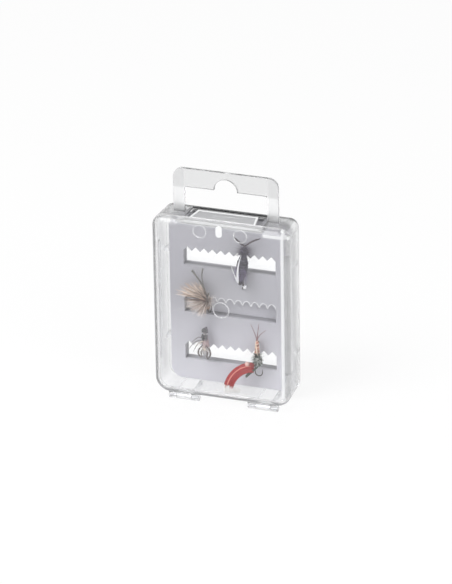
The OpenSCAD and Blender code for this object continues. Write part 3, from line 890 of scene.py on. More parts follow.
def fan_of(name, material, slot, root, run, number, angles, tilts, lengths, uneven, thick, curl, seed):
    """Fibres in a fan from a line of roots: angles in degrees, lengths and thickness in millimetres."""
    return grown(
        name, spray_tree(), material, slot,
        Count=number, Seed=seed, Root=tuple(root), Run=tuple(run),
        Angle_From=math.radians(angles[0]), Angle_To=math.radians(angles[1]),
        Tilt_From=math.radians(tilts[0]), Tilt_To=math.radians(tilts[1]),
        Length_From=lengths[0] * MM, Length_To=lengths[1] * MM, Uneven=float(uneven),
        Thickness=thick * MM, Curl=float(curl),
    )  # fmt: skip


# --- places --------------------------------------------------------------------------------------


def middle(node):
    """Middle of a CAD node's box."""
    low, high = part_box(node)
    return (low + high) / 2


def foot(node):
    """Middle of the lower side of a CAD node's box."""
    low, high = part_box(node)
    return Vector(((low.x + high.x) / 2, (low.y + high.y) / 2, low.z))


def height_of(node):
    """Height of a CAD node's box."""
    low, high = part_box(node)
    return high.z - low.z


def paint(node, material):
    """Gives a CAD node its material."""
    holder = NODES[node]
    holder.data.materials.clear()
    holder.data.materials.append(material)
    for face in holder.data.polygons:
        face.material_index = 0


# --- operators -----------------------------------------------------------------------------------


class DressShells(bpy.types.Operator):
    """Clear plastic on the tray, the hang tab, the lid and the latch tongue"""

    bl_idname = "flybox.dress_shells"
    bl_label = "Dress shells"

    def execute(self, context):
        look = context.scene.box_looks
        # Painted shade: the share of light left in each zone after its colour is darkened.
        tray_painted_shades = {"Edge": 0.9, "Top": 0.52, "Back Edge": 0.15, "Pocket": 0.46}
        tab_painted_shades = {"Bar": 0.78, "Window": 0.5, "Edge": 0.9}
        paint("rear_tray", clear_plastic("clear tray plastic", look, tray_painted_shades))
        paint("hang_tab", clear_plastic("clear tab plastic", look, tab_painted_shades, rough=0.2))
        lid = clear_plastic("clear lid plastic", look, {"Edge": 0.66}, raised_and_gleam=0.8)
        for node in ("front_lid", "latch_tongue"):
            paint(node, lid)
        return {"FINISHED"}


class DressRack(bpy.types.Operator):
    """Satin grey plastic on the toothed rack, and a pale bead along its middle slot's teeth as a painted
    highlight
    """

    bl_idname = "flybox.dress_rack"
    bl_label = "Dress rack"

    def execute(self, context):
        look = context.scene.box_looks
        paint("rack", rack_plastic(look))
        # A pale bead along the middle slot's teeth, painted as the highlight on their edges.
        teeth, pitch, first, tip, top = 11, 4.07, -20.35, 46.8, 48.9
        shoulder = top - 0.7
        arch = ((-1.9, tip), (-1.25, shoulder), (0, top), (1.25, shoulder), (1.9, tip))
        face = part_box("rack")[0].y / MM + 0.12
        points = [(first + pitch * i + x, face, z) for i in range(teeth) for x, z in arch]
        run = smooth_run(points, [look.tooth_highlight_radius / MM] * len(points), 3)
        pale = plastic("painted tooth highlight", (0.86, 0.86, 0.87), 0.35)
        piece("rack_tooth_highlight", tubes("tooth highlight beads", [run], 6), pale)
        return {"FINISHED"}


class DressMetal(bpy.types.Operator):
    """Steel on the hinge pins and bronzed wire on the hooks"""

    bl_idname = "flybox.dress_metal"
    bl_label = "Dress metal"

    def execute(self, context):
        look = context.scene.box_looks
        pin = metal("pin steel", look.pin_colour, 0.25)
        wire = metal("bronzed wire", look.wire_colour, 0.22)
        for node in ("hinge_pin_left", "hinge_pin_right"):
            paint(node, pin)
        for node in NODES:
            if node.endswith(("_hook", "_stinger")):
                paint(node, wire)
        return {"FINISHED"}


class TieBiotNymph(bpy.types.Operator):
    """Dark nymph with pale V wings and a forked tail"""

    bl_idname = "flybox.tie_biot_nymph"
    bl_label = "Tie nymph with biot wings"

    def execute(self, context):
        wear = context.scene.fly_dressing
        lean, length = math.radians(8), 18.4 * MM
        axis = Vector((math.sin(lean), 0, math.cos(lean)))
        base = middle("biot_body") - axis * length / 2
        shape = [
            (0, 0.25), (0.05, 1.1), (0.13, 1.7), (0.27, 2.5), (0.42, 2.8), (0.58, 2.65),
            (0.7, 2.0), (0.78, 1.5), (0.86, 2.0), (0.93, 2.1), (0.98, 1.2), (1, 0.25),
        ]  # fmt: skip
        profile = shaped_profile(shape, length, turns=11, bite=0.07)
        wound = thread("dark wound fur", wear.dark_fur, toned(wear.dark_fur, 0.5))
        body = piece("biot_body_wound", lathe("biot body", profile, base, axis), wound)
        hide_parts("biot_body")
        wire = rib("biot rib", profile, base, axis, turns=9, wire_mm=0.09, start=0.1, end=0.7)
        piece("biot_rib", wire, metal("silver rib", (0.3, 0.3, 0.34), 0.3))
        self.fur(wear, base, axis, length)
        self.wings(wear)
        self.tails(wear)
        self.head(wear, base + axis * 0.8 * MM, axis)
        return {"FINISHED"}

    @staticmethod
    def fur(wear, base, axis, length):
        """Fur on the body and the thorax, spikes at its sides and hackle swept back under it."""
        hub = base + axis * 0.9 * length
        fur = strands("dark fur", wear.dark_fur, toned(wear.dark_fur, 3.4), 0.9)
        fan_of("biot_fur", fur, "dark_dubbing", base + axis * 0.1 * length, axis * 0.6 * length,
               number=wear.fur_count, angles=ALL_ROUND, tilts=(-85, 85), lengths=(3.5, 3.5),
               uneven=0.35, thick=0.1, curl=0.1, seed=3)
        fan_of("biot_thorax_fur", fur, "dark_dubbing", hub - axis * 0.8 * MM, axis * 1.8 * MM,
               number=420, angles=ALL_ROUND, tilts=(-60, 60), lengths=(4.3, 4.3),
               uneven=0.55, thick=0.15, curl=0.2, seed=4)
        spikes = strands("dark spikes", wear.quill, toned(wear.quill, 2), 1.0)
        sides = (("left", (-125, -55), (5.4, 5), 8), ("right", (55, 125), (4.6, 4.6), 9))
        for side, angles, lengths, seed in sides:
            fan_of("biot_spikes_" + side, spikes, "dark_quill", hub - axis * 0.8 * MM, axis * 2 * MM,
                   number=14, angles=angles, tilts=(0, 35), lengths=lengths,
                   uneven=0.3, thick=0.3, curl=0.15, seed=seed)
        swept = strands("swept dark hackle", toned(wear.dark_fur, 2.2), toned(wear.dark_fur, 6), 1.4)
        fan_of("biot_swept_hackle", swept, "dark_dubbing", hub - axis * 2.4 * MM, FORWARD * MM,
               number=120, angles=(168, 208), tilts=(2, 18), lengths=(13.2, 13.2),
               uneven=0.3, thick=0.2, curl=0.12, seed=6)

    @staticmethod
    def blade(root, angle, reach, bow, wide, steps, across):
        """Points of a cupped blade's two sides, and its two edges; sizes in millimetres."""
        ahead, side = direction(angle, 4), direction(angle + 90)
        points, edges = [], ([], [])
        for layer in (0.14, -0.14):
            for i in range(steps + 1):
                t = i / steps
                half = wide * MM * min(1, 0.35 + 4 * t) * (1 - t) ** 0.75 + 0.03 * MM
                spine = root + ahead * reach * MM * t - side * bow * reach * MM * 4 * t * (1 - t)
                for k in range(across + 1):
                    s = 2 * k / across - 1
                    crown = 1 - s * s
                    cup = 0.3 * MM * crown * (half / MM) + 0.1 * MM * max(0, 1 - 4 * abs(s))
                    depth = layer * MM * (1 - s * s * 0.8)
                    points.append(spine + side * half * s - Vector((0, cup + depth, 0)))
                if layer > 0:
                    edges[0].append(spine - side * half)
                    edges[1].append(spine + side * half)
        return points, edges

    @staticmethod
    def blade_faces(start, steps, across):
        """Faces of both sides of a blade and of the strip round its edge, from its first point's number."""
        ring = across + 1
        sheet = (steps + 1) * ring
        faces = []
        for i in range(steps):
            for k in range(across):
                a = start + i * ring + k
                faces.append((a, a + 1, a + ring + 1, a + ring))
                faces.append((a + sheet, a + sheet + ring, a + sheet + ring + 1, a + sheet + 1))
        edge = [start + k for k in range(ring)]
        edge += [start + i * ring + across for i in range(1, steps + 1)]
        edge += [start + steps * ring + k for k in reversed(range(across))]
        edge += [start + i * ring for i in reversed(range(1, steps))]
        for a, b in zip(edge, edge[1:] + edge[:1]):
            faces.append((a, a + sheet, b + sheet, b))
        return faces

    def wings(self, wear):
        """Two cupped pale blades that taper to a point, each with a grey outline."""
        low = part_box("biot_wings")[0]
        root = Vector((6.3 * MM, middle("biot_wings").y - 0.6 * MM, low.z + 0.1 * MM))
        steps, across = 22, 6
        vertices, faces, outlines = [], [], []
        for angle, reach, bow, wide in ((-19.5, 9.7, 0.02, 0.42), (8, 14.7, 0.06, 0.66)):
            faces += self.blade_faces(len(vertices), steps, across)
            points, edges = self.blade(root, angle, reach, bow, wide, steps, across)
            vertices += points
            outlines += [(edge, [0.07 * MM] * len(edge)) for edge in edges]
        pale = strands("pale biot", wear.biot, wear.biot, 0.0, 0.45, 0.0)
        made = piece("biot_wings_cupped", mesh_from(vertices, faces, "biot wings"), pale)
        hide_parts("biot_wings")
        grey = plain_strands("grey biot edge", toned(wear.biot, 0.4))
        piece("biot_wing_edges", tubes("biot wing edges", outlines, 5), grey)

    @staticmethod
    def tails(wear):
        """Two dark quills that fork from one root."""
        root = Vector((8.8, 1.0, 78.3))
        runs = []
        for across, up, sag in ((-5.0, 3.9, -0.5), (7.7, 4.9, 0.5)):
            spots = [
                root + Vector((across * t, -0.3 * t, up * t + sag * math.sin(math.pi * t)))
                for t in (-0.12, 0.2, 0.5, 0.8, 1)
            ]
            runs.append(smooth_run(spots, [0.28, 0.45, 0.5, 0.4, 0.12]))
        quill = plain_strands("dark quill", wear.quill)
        tail = piece("biot_tails_forked", tubes("biot tails", runs, 8, 0.5), quill)
        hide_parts("biot_tails")

    @staticmethod
    def head(wear, neck, axis):
        """Throat whiskers, a thread head and a silver bead at the hook's bend."""
        whiskers = strands("brown hackle", wear.brown_hackle, wear.brown_hackle, 0.8)
        fan_of("biot_beard", whiskers, "dark_quill", neck + axis * MM, axis * 0.6 * MM,
               number=7, angles=(30, 44), tilts=(20, 34), lengths=(10, 10.5),
               uneven=0.3, thick=0.14, curl=0.12, seed=5)
        fan_of("biot_throat", whiskers, "dark_quill", neck + axis * MM, axis * 0.8 * MM,
               number=12, angles=(-48, -18), tilts=(15, 40), lengths=(4.6, 4.2),
               uneven=0.3, thick=0.2, curl=0.2, seed=7)
        shape = [
            (0.35, -1.6), (0.75, -1.3), (1.05, -0.7), (1.25, 0),
            (1.3, 0.7), (1.2, 1.4), (0.9, 2.0), (0.4, 2.3),
        ]  # fmt: skip
        head = lathe("biot head", [(r * MM, along * MM) for r, along in shape], neck, axis)
        wraps = thread("dark thread", (0.03, 0.026, 0.032), (0.008, 0.008, 0.01))
        piece("biot_head", head, wraps)
        bead = lathe("biot bead", ball(1.3, 1.2), foot("biot_hook") + Vector((0.4, -1.0, 1.2)) * MM)
        piece("biot_bead", bead, metal("silver bead", (0.9, 0.9, 0.92), 0.2))


class TieHackledFly(bpy.types.Operator):
    """Tan and cream fly with a broad fan of hackle"""

    bl_idname = "flybox.tie_hackled_fly"
    bl_label = "Tie hackled fly"

    def execute(self, context):
        wear = context.scene.fly_dressing
        base = foot("hackled_body")
        profile = round_profile(height_of("hackled_body"), 1.45 * MM, narrowing=0.1, turns=7, bite=0.12)
        tan = thread("tan thread", (0.34, 0.2, 0.13), (0.1, 0.06, 0.04))
        body = piece("hackled_body_wound", lathe("hackled body", profile, base), tan)
        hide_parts("hackled_body")
        centre = (middle("hackled_body").x + 0.9 * MM, middle("hackled_wing").y - 0.3 * MM, base.z + 5.9 * MM)
        self.hackle(wear, Vector(centre))
        self.tail()
        return {"FINISHED"}

    @staticmethod
    def hackle(wear, hub):
        """Layers of warm, dark and pale fibres fanned out to the left, a ruff round the hub, two whiskers."""
        tan, brown, cream = wear.tan_hackle, wear.brown_hackle, wear.cream_hackle
        warm = strands("tan hackle", toned(tan, 0.45), toned(tan, 0.85), 0.9)
        shine = strands("light tan hackle", tan, (0.95, 0.86, 0.78), 0.3)
        dark = strands("brown hackle fan", brown, toned(brown, 1.7), 1.0)
        rust = strands("rust hackle", (0.2, 0.11, 0.09), (0.3, 0.18, 0.14), 0.8)
        pale = strands("cream hackle", (0.4, 0.3, 0.25), cream, 0.9)
        white = strands("white hackle", cream, (0.95, 0.91, 0.88), 0.2)
        slot, few = "tan_hackle", wear.hackle_count
        forward = FORWARD * MM
        fan = fan_of("hackle_warm", warm, slot, hub, Vector((0, -0.8, 0.6)) * MM,
                     number=2 * few, angles=(-24, -84), tilts=(-4, 14), lengths=(9.6, 17),
                     uneven=0.3, thick=0.3, curl=0.1, seed=11)
        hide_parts("hackled_wing")
        fan_of("hackle_shine", shine, slot, hub, forward,
               number=few // 2, angles=(-22, -76), tilts=(8, 22), lengths=(10, 16.6),
               uneven=0.35, thick=0.5, curl=0.1, seed=17)
        fan_of("hackle_brown", dark, slot, hub, forward,
               number=few, angles=(-6, -92), tilts=(10, 26), lengths=(7.5, 13),
               uneven=0.4, thick=0.28, curl=0.1, seed=12)
        fan_of("hackle_cream", pale, slot, hub, Vector((0, -1, -0.6)) * MM,
               number=few + 40, angles=(-86, -168), tilts=(0, 18), lengths=(12, 8.8),
               uneven=0.25, thick=0.32, curl=0.1, seed=13)
        fan_of("hackle_white", white, slot, hub, forward,
               number=22, angles=(-92, -165), tilts=(14, 24), lengths=(12, 9),
               uneven=0.2, thick=0.42, curl=0.1, seed=18)
        fan_of("hackle_rust", rust, slot, hub, forward,
               number=few // 2, angles=(-76, -172), tilts=(16, 30), lengths=(11, 8),
               uneven=0.35, thick=0.26, curl=0.1, seed=19)
        fan_of("hackle_collar", white, slot, hub, forward,
               number=40, angles=(-20, 170), tilts=(-5, 50), lengths=(5.4, 5.4),
               uneven=0.4, thick=0.2, curl=0.2, seed=14)
        fan_of("hackle_heart", dark, slot, hub, forward,
               number=few + 30, angles=(-175, 175), tilts=(10, 70), lengths=(4.6, 4.6),
               uneven=0.4, thick=0.22, curl=0.2, seed=15)
        fan_of("hackle_whisker", white, slot, hub, (0, 0, 0),
               number=2, angles=(-111, -114), tilts=(4, 6), lengths=(20, 18),
               uneven=0.1, thick=0.16, curl=0.08, seed=16)

    @staticmethod
    def tail():
        """Two grey strands that part on the way up."""
        left = [(-9.9, 0.6, 50.4), (-11.5, 0.9, 54), (-13, 1.2, 56.9), (-15.4, 1.3, 60), (-17.3, 1.3, 62.5)]
        right = [
            (-9.7, 0.6, 50.4), (-10.9, 0.9, 53.4), (-12.2, 1.2, 57.5), (-12.5, 1.3, 60.8), (-12, 1.3, 64),
        ]  # fmt: skip
        thick, thin = [0.2, 0.34, 0.42, 0.4, 0.66], [0.18, 0.24, 0.26, 0.3, 0.5]
        runs = [smooth_run(left, thick), smooth_run(right, thin)]
        grey = strands("grey strand", (0.16, 0.155, 0.145), (0.09, 0.088, 0.085), 0.0)
        tail = piece("hackled_tail_strands", tubes("hackled tail", runs, 8, 0.7), grey)
        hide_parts("hackled_tail")


class TieSmallNymph(bpy.types.Operator):
    """Small nymph: slim dark abdomen, rose thorax, wing case and bowed legs"""

    bl_idname = "flybox.tie_small_nymph"
    bl_label = "Tie small nymph"

    def execute(self, context):
        wear = context.scene.fly_dressing
        base = foot("nymph_body")
        length = height_of("nymph_body")
        shape = [
            (0, 0.4), (0.05, 1.3), (0.2, 1.85), (0.36, 1.85), (0.5, 1.5), (0.62, 1.25),
            (0.7, 1.3), (0.77, 0.95), (0.83, 1.3), (0.92, 1.2), (0.98, 0.6), (1, 0.15),
        ]  # fmt: skip
        profile = shaped_profile(shape, length, turns=14, bite=0.06)
        pale, rose, dark = (0.55, 0.54, 0.56), wear.rose_fur, toned(wear.grey_fur, 1.3)
        bands = [
            (0.0, dark), (0.12, pale), (0.3, pale), (0.38, rose), (0.56, rose),
            (0.62, dark), (0.74, dark), (0.77, pale), (0.8, pale), (0.83, dark),
        ]  # fmt: skip
        fur = banded_fur("grey and rose fur", bands, base.z, length)
        body = piece("nymph_body_wound", lathe("nymph body", profile, base), fur)
        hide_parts("nymph_body")
        wire = rib("nymph rib", profile, base, UP, turns=8, wire_mm=0.07, start=0.3, end=0.96)
        piece("nymph_rib", wire, metal("copper rib", (0.5, 0.42, 0.4), 0.3))
        soft = strands("rose fur", rose, toned(rose, 1.3), 0.8)
        fan_of("nymph_fur", soft, "grey_dubbing", base + UP * 4 * MM, UP * 5 * MM,
               number=220, angles=ALL_ROUND, tilts=(-80, 80), lengths=(2.3, 2.3),
               uneven=0.4, thick=0.1, curl=0.15, seed=21)
        front = base.y / MM - 1.6
        self.cases(front)
        self.legs(front)
        white = strands("pale hackle", wear.cream_hackle, (0.95, 0.94, 0.94), 0.3)
        fan_of("nymph_hackle", white, "pale_feather", base + Vector((0, -2, 4.4)) * MM, UP * 1.4 * MM,
               number=26, angles=(-165, 165), tilts=(-10, 30), lengths=(4.4, 4.4),
               uneven=0.35, thick=0.22, curl=0.4, seed=22)
        fan_of("nymph_side_hackle", white, "pale_feather", base + Vector((-0.6, -1.4, 8.2)) * MM, UP * MM,
               number=18, angles=(-142, -108), tilts=(5, 25), lengths=(7, 6),
               uneven=0.3, thick=0.16, curl=0.4, seed=23)
        return {"FINISHED"}

    @staticmethod
    def cases(front):
        """Two pairs of dark wing cases on the thorax."""
        cases = smooth_runs(
            front,
            ([(-11.9, 0, 28.2), (-12.2, 0.1, 30), (-12.0, 0, 31.6)], [0.3, 0.62, 0.3]),
            ([(-10.6, 0, 28.2), (-10.3, 0.1, 30), (-10.5, 0, 31.6)], [0.3, 0.5, 0.3]),
            ([(-12.2, 0, 32.4), (-11.8, 0.1, 33.6), (-11.3, 0, 34.6)], [0.3, 0.7, 0.3]),
            ([(-10.2, 0, 32.4), (-10.6, 0.1, 33.6), (-11.2, 0, 34.6)], [0.3, 0.6, 0.3]),
        )
        grey = strands("dark case", (0.1, 0.1, 0.105), (0.14, 0.14, 0.145), 0.0, 0.35)
        piece("nymph_wing_cases", tubes("nymph cases", cases, 8), grey)

    @staticmethod
    def legs(front):
        """Two pairs of bowed legs and three thin ones that reach out to the left."""
        outer_left, outer_right, inner = [0.2, 0.4, 0.42, 0.3], [0.2, 0.42, 0.44, 0.3], [0.2, 0.36, 0.26]
        thin, thinnest = [0.15, 0.2, 0.2, 0.08], [0.12, 0.18, 0.18, 0.08]
        legs = smooth_runs(
            front,
            ([(-12, 0, 26), (-13.7, 0.4, 23.8), (-14.1, 0.6, 21.6), (-12.9, 0.4, 19.8)], outer_left),
            ([(-10.4, 0, 26), (-8.6, 0.4, 24), (-8.2, 0.6, 21.8), (-9.2, 0.4, 19.8)], outer_right),
            ([(-12, 0.2, 24.2), (-12.7, 0.8, 22.4), (-12.2, 0.6, 20.2)], inner),
            ([(-10.3, 0.2, 24.2), (-9.6, 0.8, 22.4), (-10.1, 0.6, 20.2)], inner),
            ([(-12.1, 0, 28.4), (-14.6, 0.5, 27.8), (-16.6, 0.9, 26.2), (-18.4, 1, 23.6)], thin),
            ([(-12.1, 0, 27.2), (-13.9, 0.5, 26.8), (-15.2, 0.9, 24.9), (-16.4, 1, 22.3)], thin),
            ([(-12.1, 0, 29.4), (-13.8, 0.4, 29.9), (-15, 0.7, 29.1), (-17.2, 0.9, 26.9)], thinnest),
        )
        quill = plain_strands("leg quill", (0.12, 0.1, 0.095))
        leg = piece("nymph_legs_bowed", tubes("nymph legs", legs, 7), quill)
        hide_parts("nymph_legs")


class TieStonefly(bpy.types.Operator):
    """Stonefly nymph: banded pink abdomen, dark hackled thorax and long tails"""

    bl_idname = "flybox.tie_stonefly"
    bl_label = "Tie stonefly nymph"

    def execute(self, context):
        wear = context.scene.fly_dressing
        base = foot("stonefly_body")
        length = height_of("stonefly_body")
        self.body(wear, base, length)
        self.hackle(wear, Vector((14.7 * MM, base.y - 1.6 * MM, base.z + 3 * MM)))
        root = Vector((14.05 * MM, base.y, base.z + length - 0.6 * MM))
        quills = ((-15, 8.6, -0.06), (7, 8.9, 0.0), (16, 7.0, 0.4), (2, 7.0, 0.12))
        tails = [
            (quill_points(root, angle, 4, reach * MM, droop), taper(0.24 * MM, 0.1 * MM))
            for angle, reach, droop in quills
        ]
        rust = strands("rust quill", (0.24, 0.13, 0.14), (0.3, 0.2, 0.23), 0.0)
        tail = piece("stonefly_tails_long", tubes("stonefly tails", tails), rust)
        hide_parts("stonefly_tails")
        feelers = smooth_runs(
            base.y / MM - 2.4,
            ([(17.2, -0.4, 21.2), (14.8, 0, 18.8), (12.2, 0, 16), (9.3, 0, 13.1)], [0.3, 0.46, 0.44, 0.5]),
            ([(12.6, 0, 20.6), (14.4, 0.3, 21.6), (16.4, 0, 24.4)], [0.3, 0.36, 0.2]),
        )
        green = plain_strands("green quill", wear.green_hackle)
        piece("stonefly_feelers", tubes("stonefly feelers", feelers), green)
        return {"FINISHED"}

    @staticmethod
    def body(wear, base, length):
        """Pink thread body with a pale rib and a strand of cream floss along its front."""
        shape = [
            (0, 0.3), (0.08, 1.0), (0.25, 1.3), (0.45, 1.25),
            (0.6, 1.1), (0.8, 0.85), (0.95, 0.5), (1, 0.2),
        ]  # fmt: skip
        profile = shaped_profile(shape, length, turns=12, bite=0.1)
        pink = thread("pink thread", wear.pink_thread, (0.22, 0.08, 0.065))
        body = piece("stonefly_body_wound", lathe("stonefly body", profile, base), pink)
        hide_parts("stonefly_body")
        wound = rib("stonefly rib", profile, base, UP, turns=5, wire_mm=0.2, start=0.35, end=0.95)
        piece("stonefly_rib", wound, thread("white floss", (0.9, 0.74, 0.6), (0.7, 0.5, 0.38)))
        points = [(13.9, 0, 31), (14.1, 0.2, 28.6), (14.5, 0.4, 26.2), (14.9, 0.5, 24.4)]
        floss = smooth_runs(base.y / MM - 1.4, (points, [0.16, 0.3, 0.32, 0.2]))
        cream = strands("cream floss", (0.9, 0.72, 0.56), (0.95, 0.85, 0.76), 0.0)
        piece("stonefly_floss", tubes("stonefly floss", floss, 8, 0.6), cream)

    @staticmethod
    def hackle(wear, hub):
        """Dark hackle round the thorax with a few pale barbs in front."""
        green = wear.green_hackle
        dark = strands("green hackle", toned(green, 0.6), green, 0.9, 0.5, 0.05)
        pale = strands("grizzle hackle", (0.8, 0.82, 0.78), (0.95, 0.95, 0.92), 0.4)
        fan = fan_of("stonefly_hackle_dark", dark, "green_hackle", hub - UP * 1.4 * MM, UP * 2.8 * MM,
                     number=320, angles=ALL_ROUND, tilts=(-40, 70), lengths=(3.6, 3.6),
                     uneven=0.45, thick=0.28, curl=0.2, seed=31)
        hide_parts("stonefly_hackle")
        root = hub - Vector((0, 1.2, 1.2)) * MM
        fan_of("stonefly_hackle_pale", pale, "pale_feather", root, UP * 2.4 * MM,
               number=16, angles=ALL_ROUND, tilts=(0, 30), lengths=(3.6, 3.6),
               uneven=0.4, thick=0.36, curl=0.3, seed=32)


class TieStreamer(bpy.types.Operator):
    """Streamer with a curled red feather and a white tip"""

    bl_idname = "flybox.tie_streamer"
    bl_label = "Tie streamer"

    def execute(self, context):
        wear = context.scene.fly_dressing
        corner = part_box("streamer_feather")[1]
        lean = math.radians(-28)
        tilt = Matrix.Rotation(lean, 3, "X")
        to_centre = tilt @ Vector((13, 0, -13)) - Vector((0, 0.54, 0.54))
        centre = Vector((0, corner.y, corner.z)) + to_centre * MM
        shared = {"Centre": tuple(centre), "Thickness": 0.34 * MM, "Lean": lean}
        inner, outer = wear.feather_inner, wear.feather_outer
        red = strands("red feather", toned(wear.red_feather, 0.7), wear.red_feather, 0.4, 0.4, 0.0)
        white = strands("white feather", wear.white_feather, wear.white_feather, 0.3, 0.5, 0.15)
        tree = arc_tree()
        vane = grown("feather_red", tree, red, "red_feather", Count=wear.feather_count, Seed=41,
                     Inner=inner, Outer=outer, Depth=0.45 * MM,
                     Start=math.radians(90), Sweep=math.radians(79), Loose=math.radians(12), **shared)
        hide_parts("streamer_feather")
        tip = grown("feather_white", tree, white, "pale_thread", Count=wear.feather_count // 2, Seed=42,
                    Inner=5.2 * MM, Outer=13.0 * MM, Depth=0.4 * MM,
                    Start=math.radians(172), Sweep=math.radians(13), Loose=math.radians(9), **shared)
        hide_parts("streamer_tip")

        def arc(radius, start, sweep, proud_mm, steps=24):
            """Points on an arc about the feather's centre, in front of its middle plane."""
            points = []
            for i in range(steps + 1):
                angle = math.radians(start + sweep * i / steps)
                spot = Vector((radius * math.cos(angle), -proud_mm * MM, radius * math.sin(angle)))
                points.append(centre + tilt @ spot)
            return points

        edges = [arc(radius, 92, 80, 0.3) for radius in (outer - 0.05 * MM, inner + 0.1 * MM)]
        rims = [(edge, [0.16 * MM] * len(edge)) for edge in edges]
        dark_red = plain_strands("dark red edge", (0.26, 0.003, 0.003))
        piece("feather_edges", tubes("feather edges", rims, 6), dark_red)
        quill = (arc((inner + outer) / 2 + 0.65 * MM, 98, 74, 0.62), taper(0.16 * MM, 0.26 * MM, 24))
        pale = strands("pale quill", (0.85, 0.3, 0.24), (0.8, 0.2, 0.16), 0.0)
        piece("feather_quill", tubes("feather quill", [quill]), pale)
        bead = lathe("streamer bead", ball(1.15, 1.05), middle("streamer_head"))
        head = piece("streamer_bead", bead, plastic("pink bead", (0.78, 0.5, 0.45), 0.25))
        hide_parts("streamer_head")
        return {"FINISHED"}


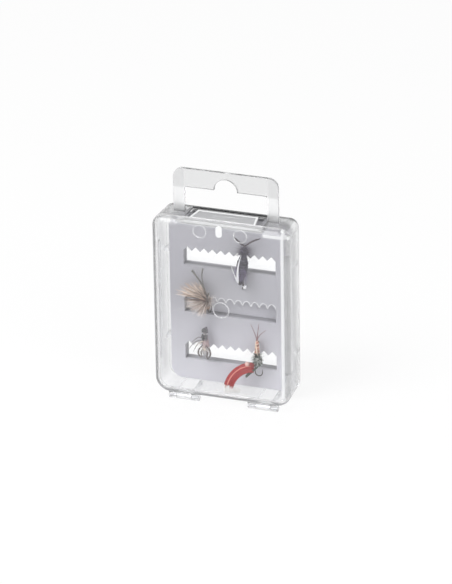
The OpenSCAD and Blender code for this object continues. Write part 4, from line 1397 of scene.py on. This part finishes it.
class BuildStage(bpy.types.Operator):
    """White floor, even light, two soft lamps and the camera"""

    bl_idname = "flybox.build_stage"
    bl_label = "Build stage"

    def execute(self, context):
        scene = context.scene
        stage = scene.stage_settings
        scene.view_settings.view_transform = "Standard"
        self.floor(scene, stage)
        self.world(scene, stage)
        self.lamp(scene, "key lamp", (-0.55, -0.75, 1.1), 0.7, stage.key_power)
        self.lamp(scene, "fill lamp", (0.95, -0.45, 0.6), 0.6, stage.fill_power)
        self.camera(scene, stage)
        return {"FINISHED"}

    @staticmethod
    def floor(scene, stage):
        """A wide floor that shows white to the camera, to gloss and through glass, and takes shadows."""
        half = 6.0
        glowing = 0.85
        mesh = bpy.data.meshes.new("floor")
        corners = [(-half, -half, 0), (half, -half, 0), (half, half, 0), (-half, half, 0)]
        mesh.from_pydata(corners, [], [(0, 1, 2, 3)])
        floor = bpy.data.objects.new("floor", mesh)
        scene.collection.objects.link(floor)
        made, tree, shader = blank_material("white floor")
        tree.nodes.remove(shader)
        path = add(tree, "ShaderNodeLightPath").outputs
        seen = math_node(tree, "MAXIMUM", path["Is Camera Ray"], path["Is Glossy Ray"])
        seen = math_node(tree, "MAXIMUM", seen, path["Is Transmission Ray"])
        extra = math_node(tree, "MULTIPLY", path["Is Transmission Ray"], (stage.through_boost - 1) / glowing)
        matt = add(tree, "ShaderNodeBsdfDiffuse", {"Color": (0.92, 0.92, 0.92, 1)})
        glow = add(tree, "ShaderNodeEmission", {"Strength": math_node(tree, "ADD", extra, 1.0)})
        surface = mixed_shaders(tree, math_node(tree, "MULTIPLY", seen, glowing), matt, glow)
        fill(tree, tree.nodes["Material Output"], {"Surface": surface.outputs[0]})
        mesh.materials.append(made)

    @staticmethod
    def world(scene, stage):
        """Even light that the camera sees as white, and that gloss and glass see darker overhead."""
        world = bpy.data.worlds.new("white studio")
        world.use_nodes = True
        scene.world = world
        tree = world.node_tree
        path = add(tree, "ShaderNodeLightPath").outputs
        place = add(tree, "ShaderNodeTexCoord").outputs["Generated"]
        up = add(tree, "ShaderNodeSeparateXYZ", {0: place}).outputs["Z"]
        overhead = mapped(tree, up, (0.02, 0.7), (1.0, stage.overhead), "SMOOTHSTEP")
        by_gloss = math_node(tree, "MAXIMUM", path["Is Glossy Ray"], path["Is Transmission Ray"])
        brighter = math_node(tree, "SUBTRACT", overhead, stage.ambient)
        level = math_node(tree, "ADD", math_node(tree, "MULTIPLY", by_gloss, brighter), stage.ambient)
        extra = math_node(tree, "MULTIPLY", path["Is Transmission Ray"], stage.through_boost - 1)
        level = math_node(tree, "MULTIPLY", level, math_node(tree, "ADD", extra, 1.0))
        level = math_node(tree, "MAXIMUM", level, path["Is Camera Ray"])
        fill(tree, tree.nodes["Background"], {"Color": (1, 1, 1, 1), "Strength": level})

    @staticmethod
    def lamp(scene, name, place, width, watts):
        """A square soft lamp aimed at the middle of the box."""
        data = bpy.data.lights.new(name, "AREA")
        data.size = width
        data.energy = watts
        lamp = bpy.data.objects.new(name, data)
        lamp.location = place
        aim = Vector((0, 0, 0.05)) - Vector(place)
        lamp.rotation_euler = aim.to_track_quat("-Z", "Y").to_euler()
        scene.collection.objects.link(lamp)

    @staticmethod
    def camera(scene, stage):
        """The camera, turned, dipped and rolled from a level view of the lid."""
        data = bpy.data.cameras.new("camera")
        data.lens = stage.lens
        data.sensor_width = 36
        data.clip_start, data.clip_end = 0.05, 30
        camera = bpy.data.objects.new("camera", data)
        level = Vector((-math.sin(stage.turn), math.cos(stage.turn), 0))
        ahead = level * math.cos(stage.dip) - UP * math.sin(stage.dip)
        right = Vector((math.cos(stage.turn), math.sin(stage.turn), 0))
        above = right.cross(ahead)
        cosine, sine = math.cos(stage.roll), math.sin(stage.roll)
        axes = (cosine * right + sine * above, cosine * above - sine * right, -ahead)
        camera.matrix_world = Matrix.Translation(stage.camera_place) @ Matrix(axes).transposed().to_4x4()
        scene.collection.objects.link(camera)
        scene.camera = camera


OPERATORS = (
    DressShells, DressRack, DressMetal,
    TieBiotNymph, TieHackledFly, TieSmallNymph, TieStonefly, TieStreamer,
    BuildStage,
)  # fmt: skip


class FLYBOX_PT_panel(bpy.types.Panel):
    """Lists the steps that dress the box"""

    bl_idname = "FLYBOX_PT_panel"
    bl_label = "Fly box"
    bl_space_type = "VIEW_3D"
    bl_region_type = "UI"
    bl_category = "Fly box"

    def draw(self, context):
        for step in OPERATORS:
            self.layout.operator(step.bl_idname)


CLASSES = (BoxLooks, FlyDressing, StageSettings, *OPERATORS, FLYBOX_PT_panel)


def register():
    for made in CLASSES:
        bpy.utils.register_class(made)
    bpy.types.Scene.box_looks = PointerProperty(type=BoxLooks)
    bpy.types.Scene.fly_dressing = PointerProperty(type=FlyDressing)
    bpy.types.Scene.stage_settings = PointerProperty(type=StageSettings)


def unregister():
    del bpy.types.Scene.stage_settings
    del bpy.types.Scene.fly_dressing
    del bpy.types.Scene.box_looks
    for made in reversed(CLASSES):
        bpy.utils.unregister_class(made)


def main():
    register()
    for step in OPERATORS:
        group_name, step_name = step.bl_idname.split(".")
        getattr(getattr(bpy.ops, group_name), step_name)()


if __name__ == "__main__":
    main()
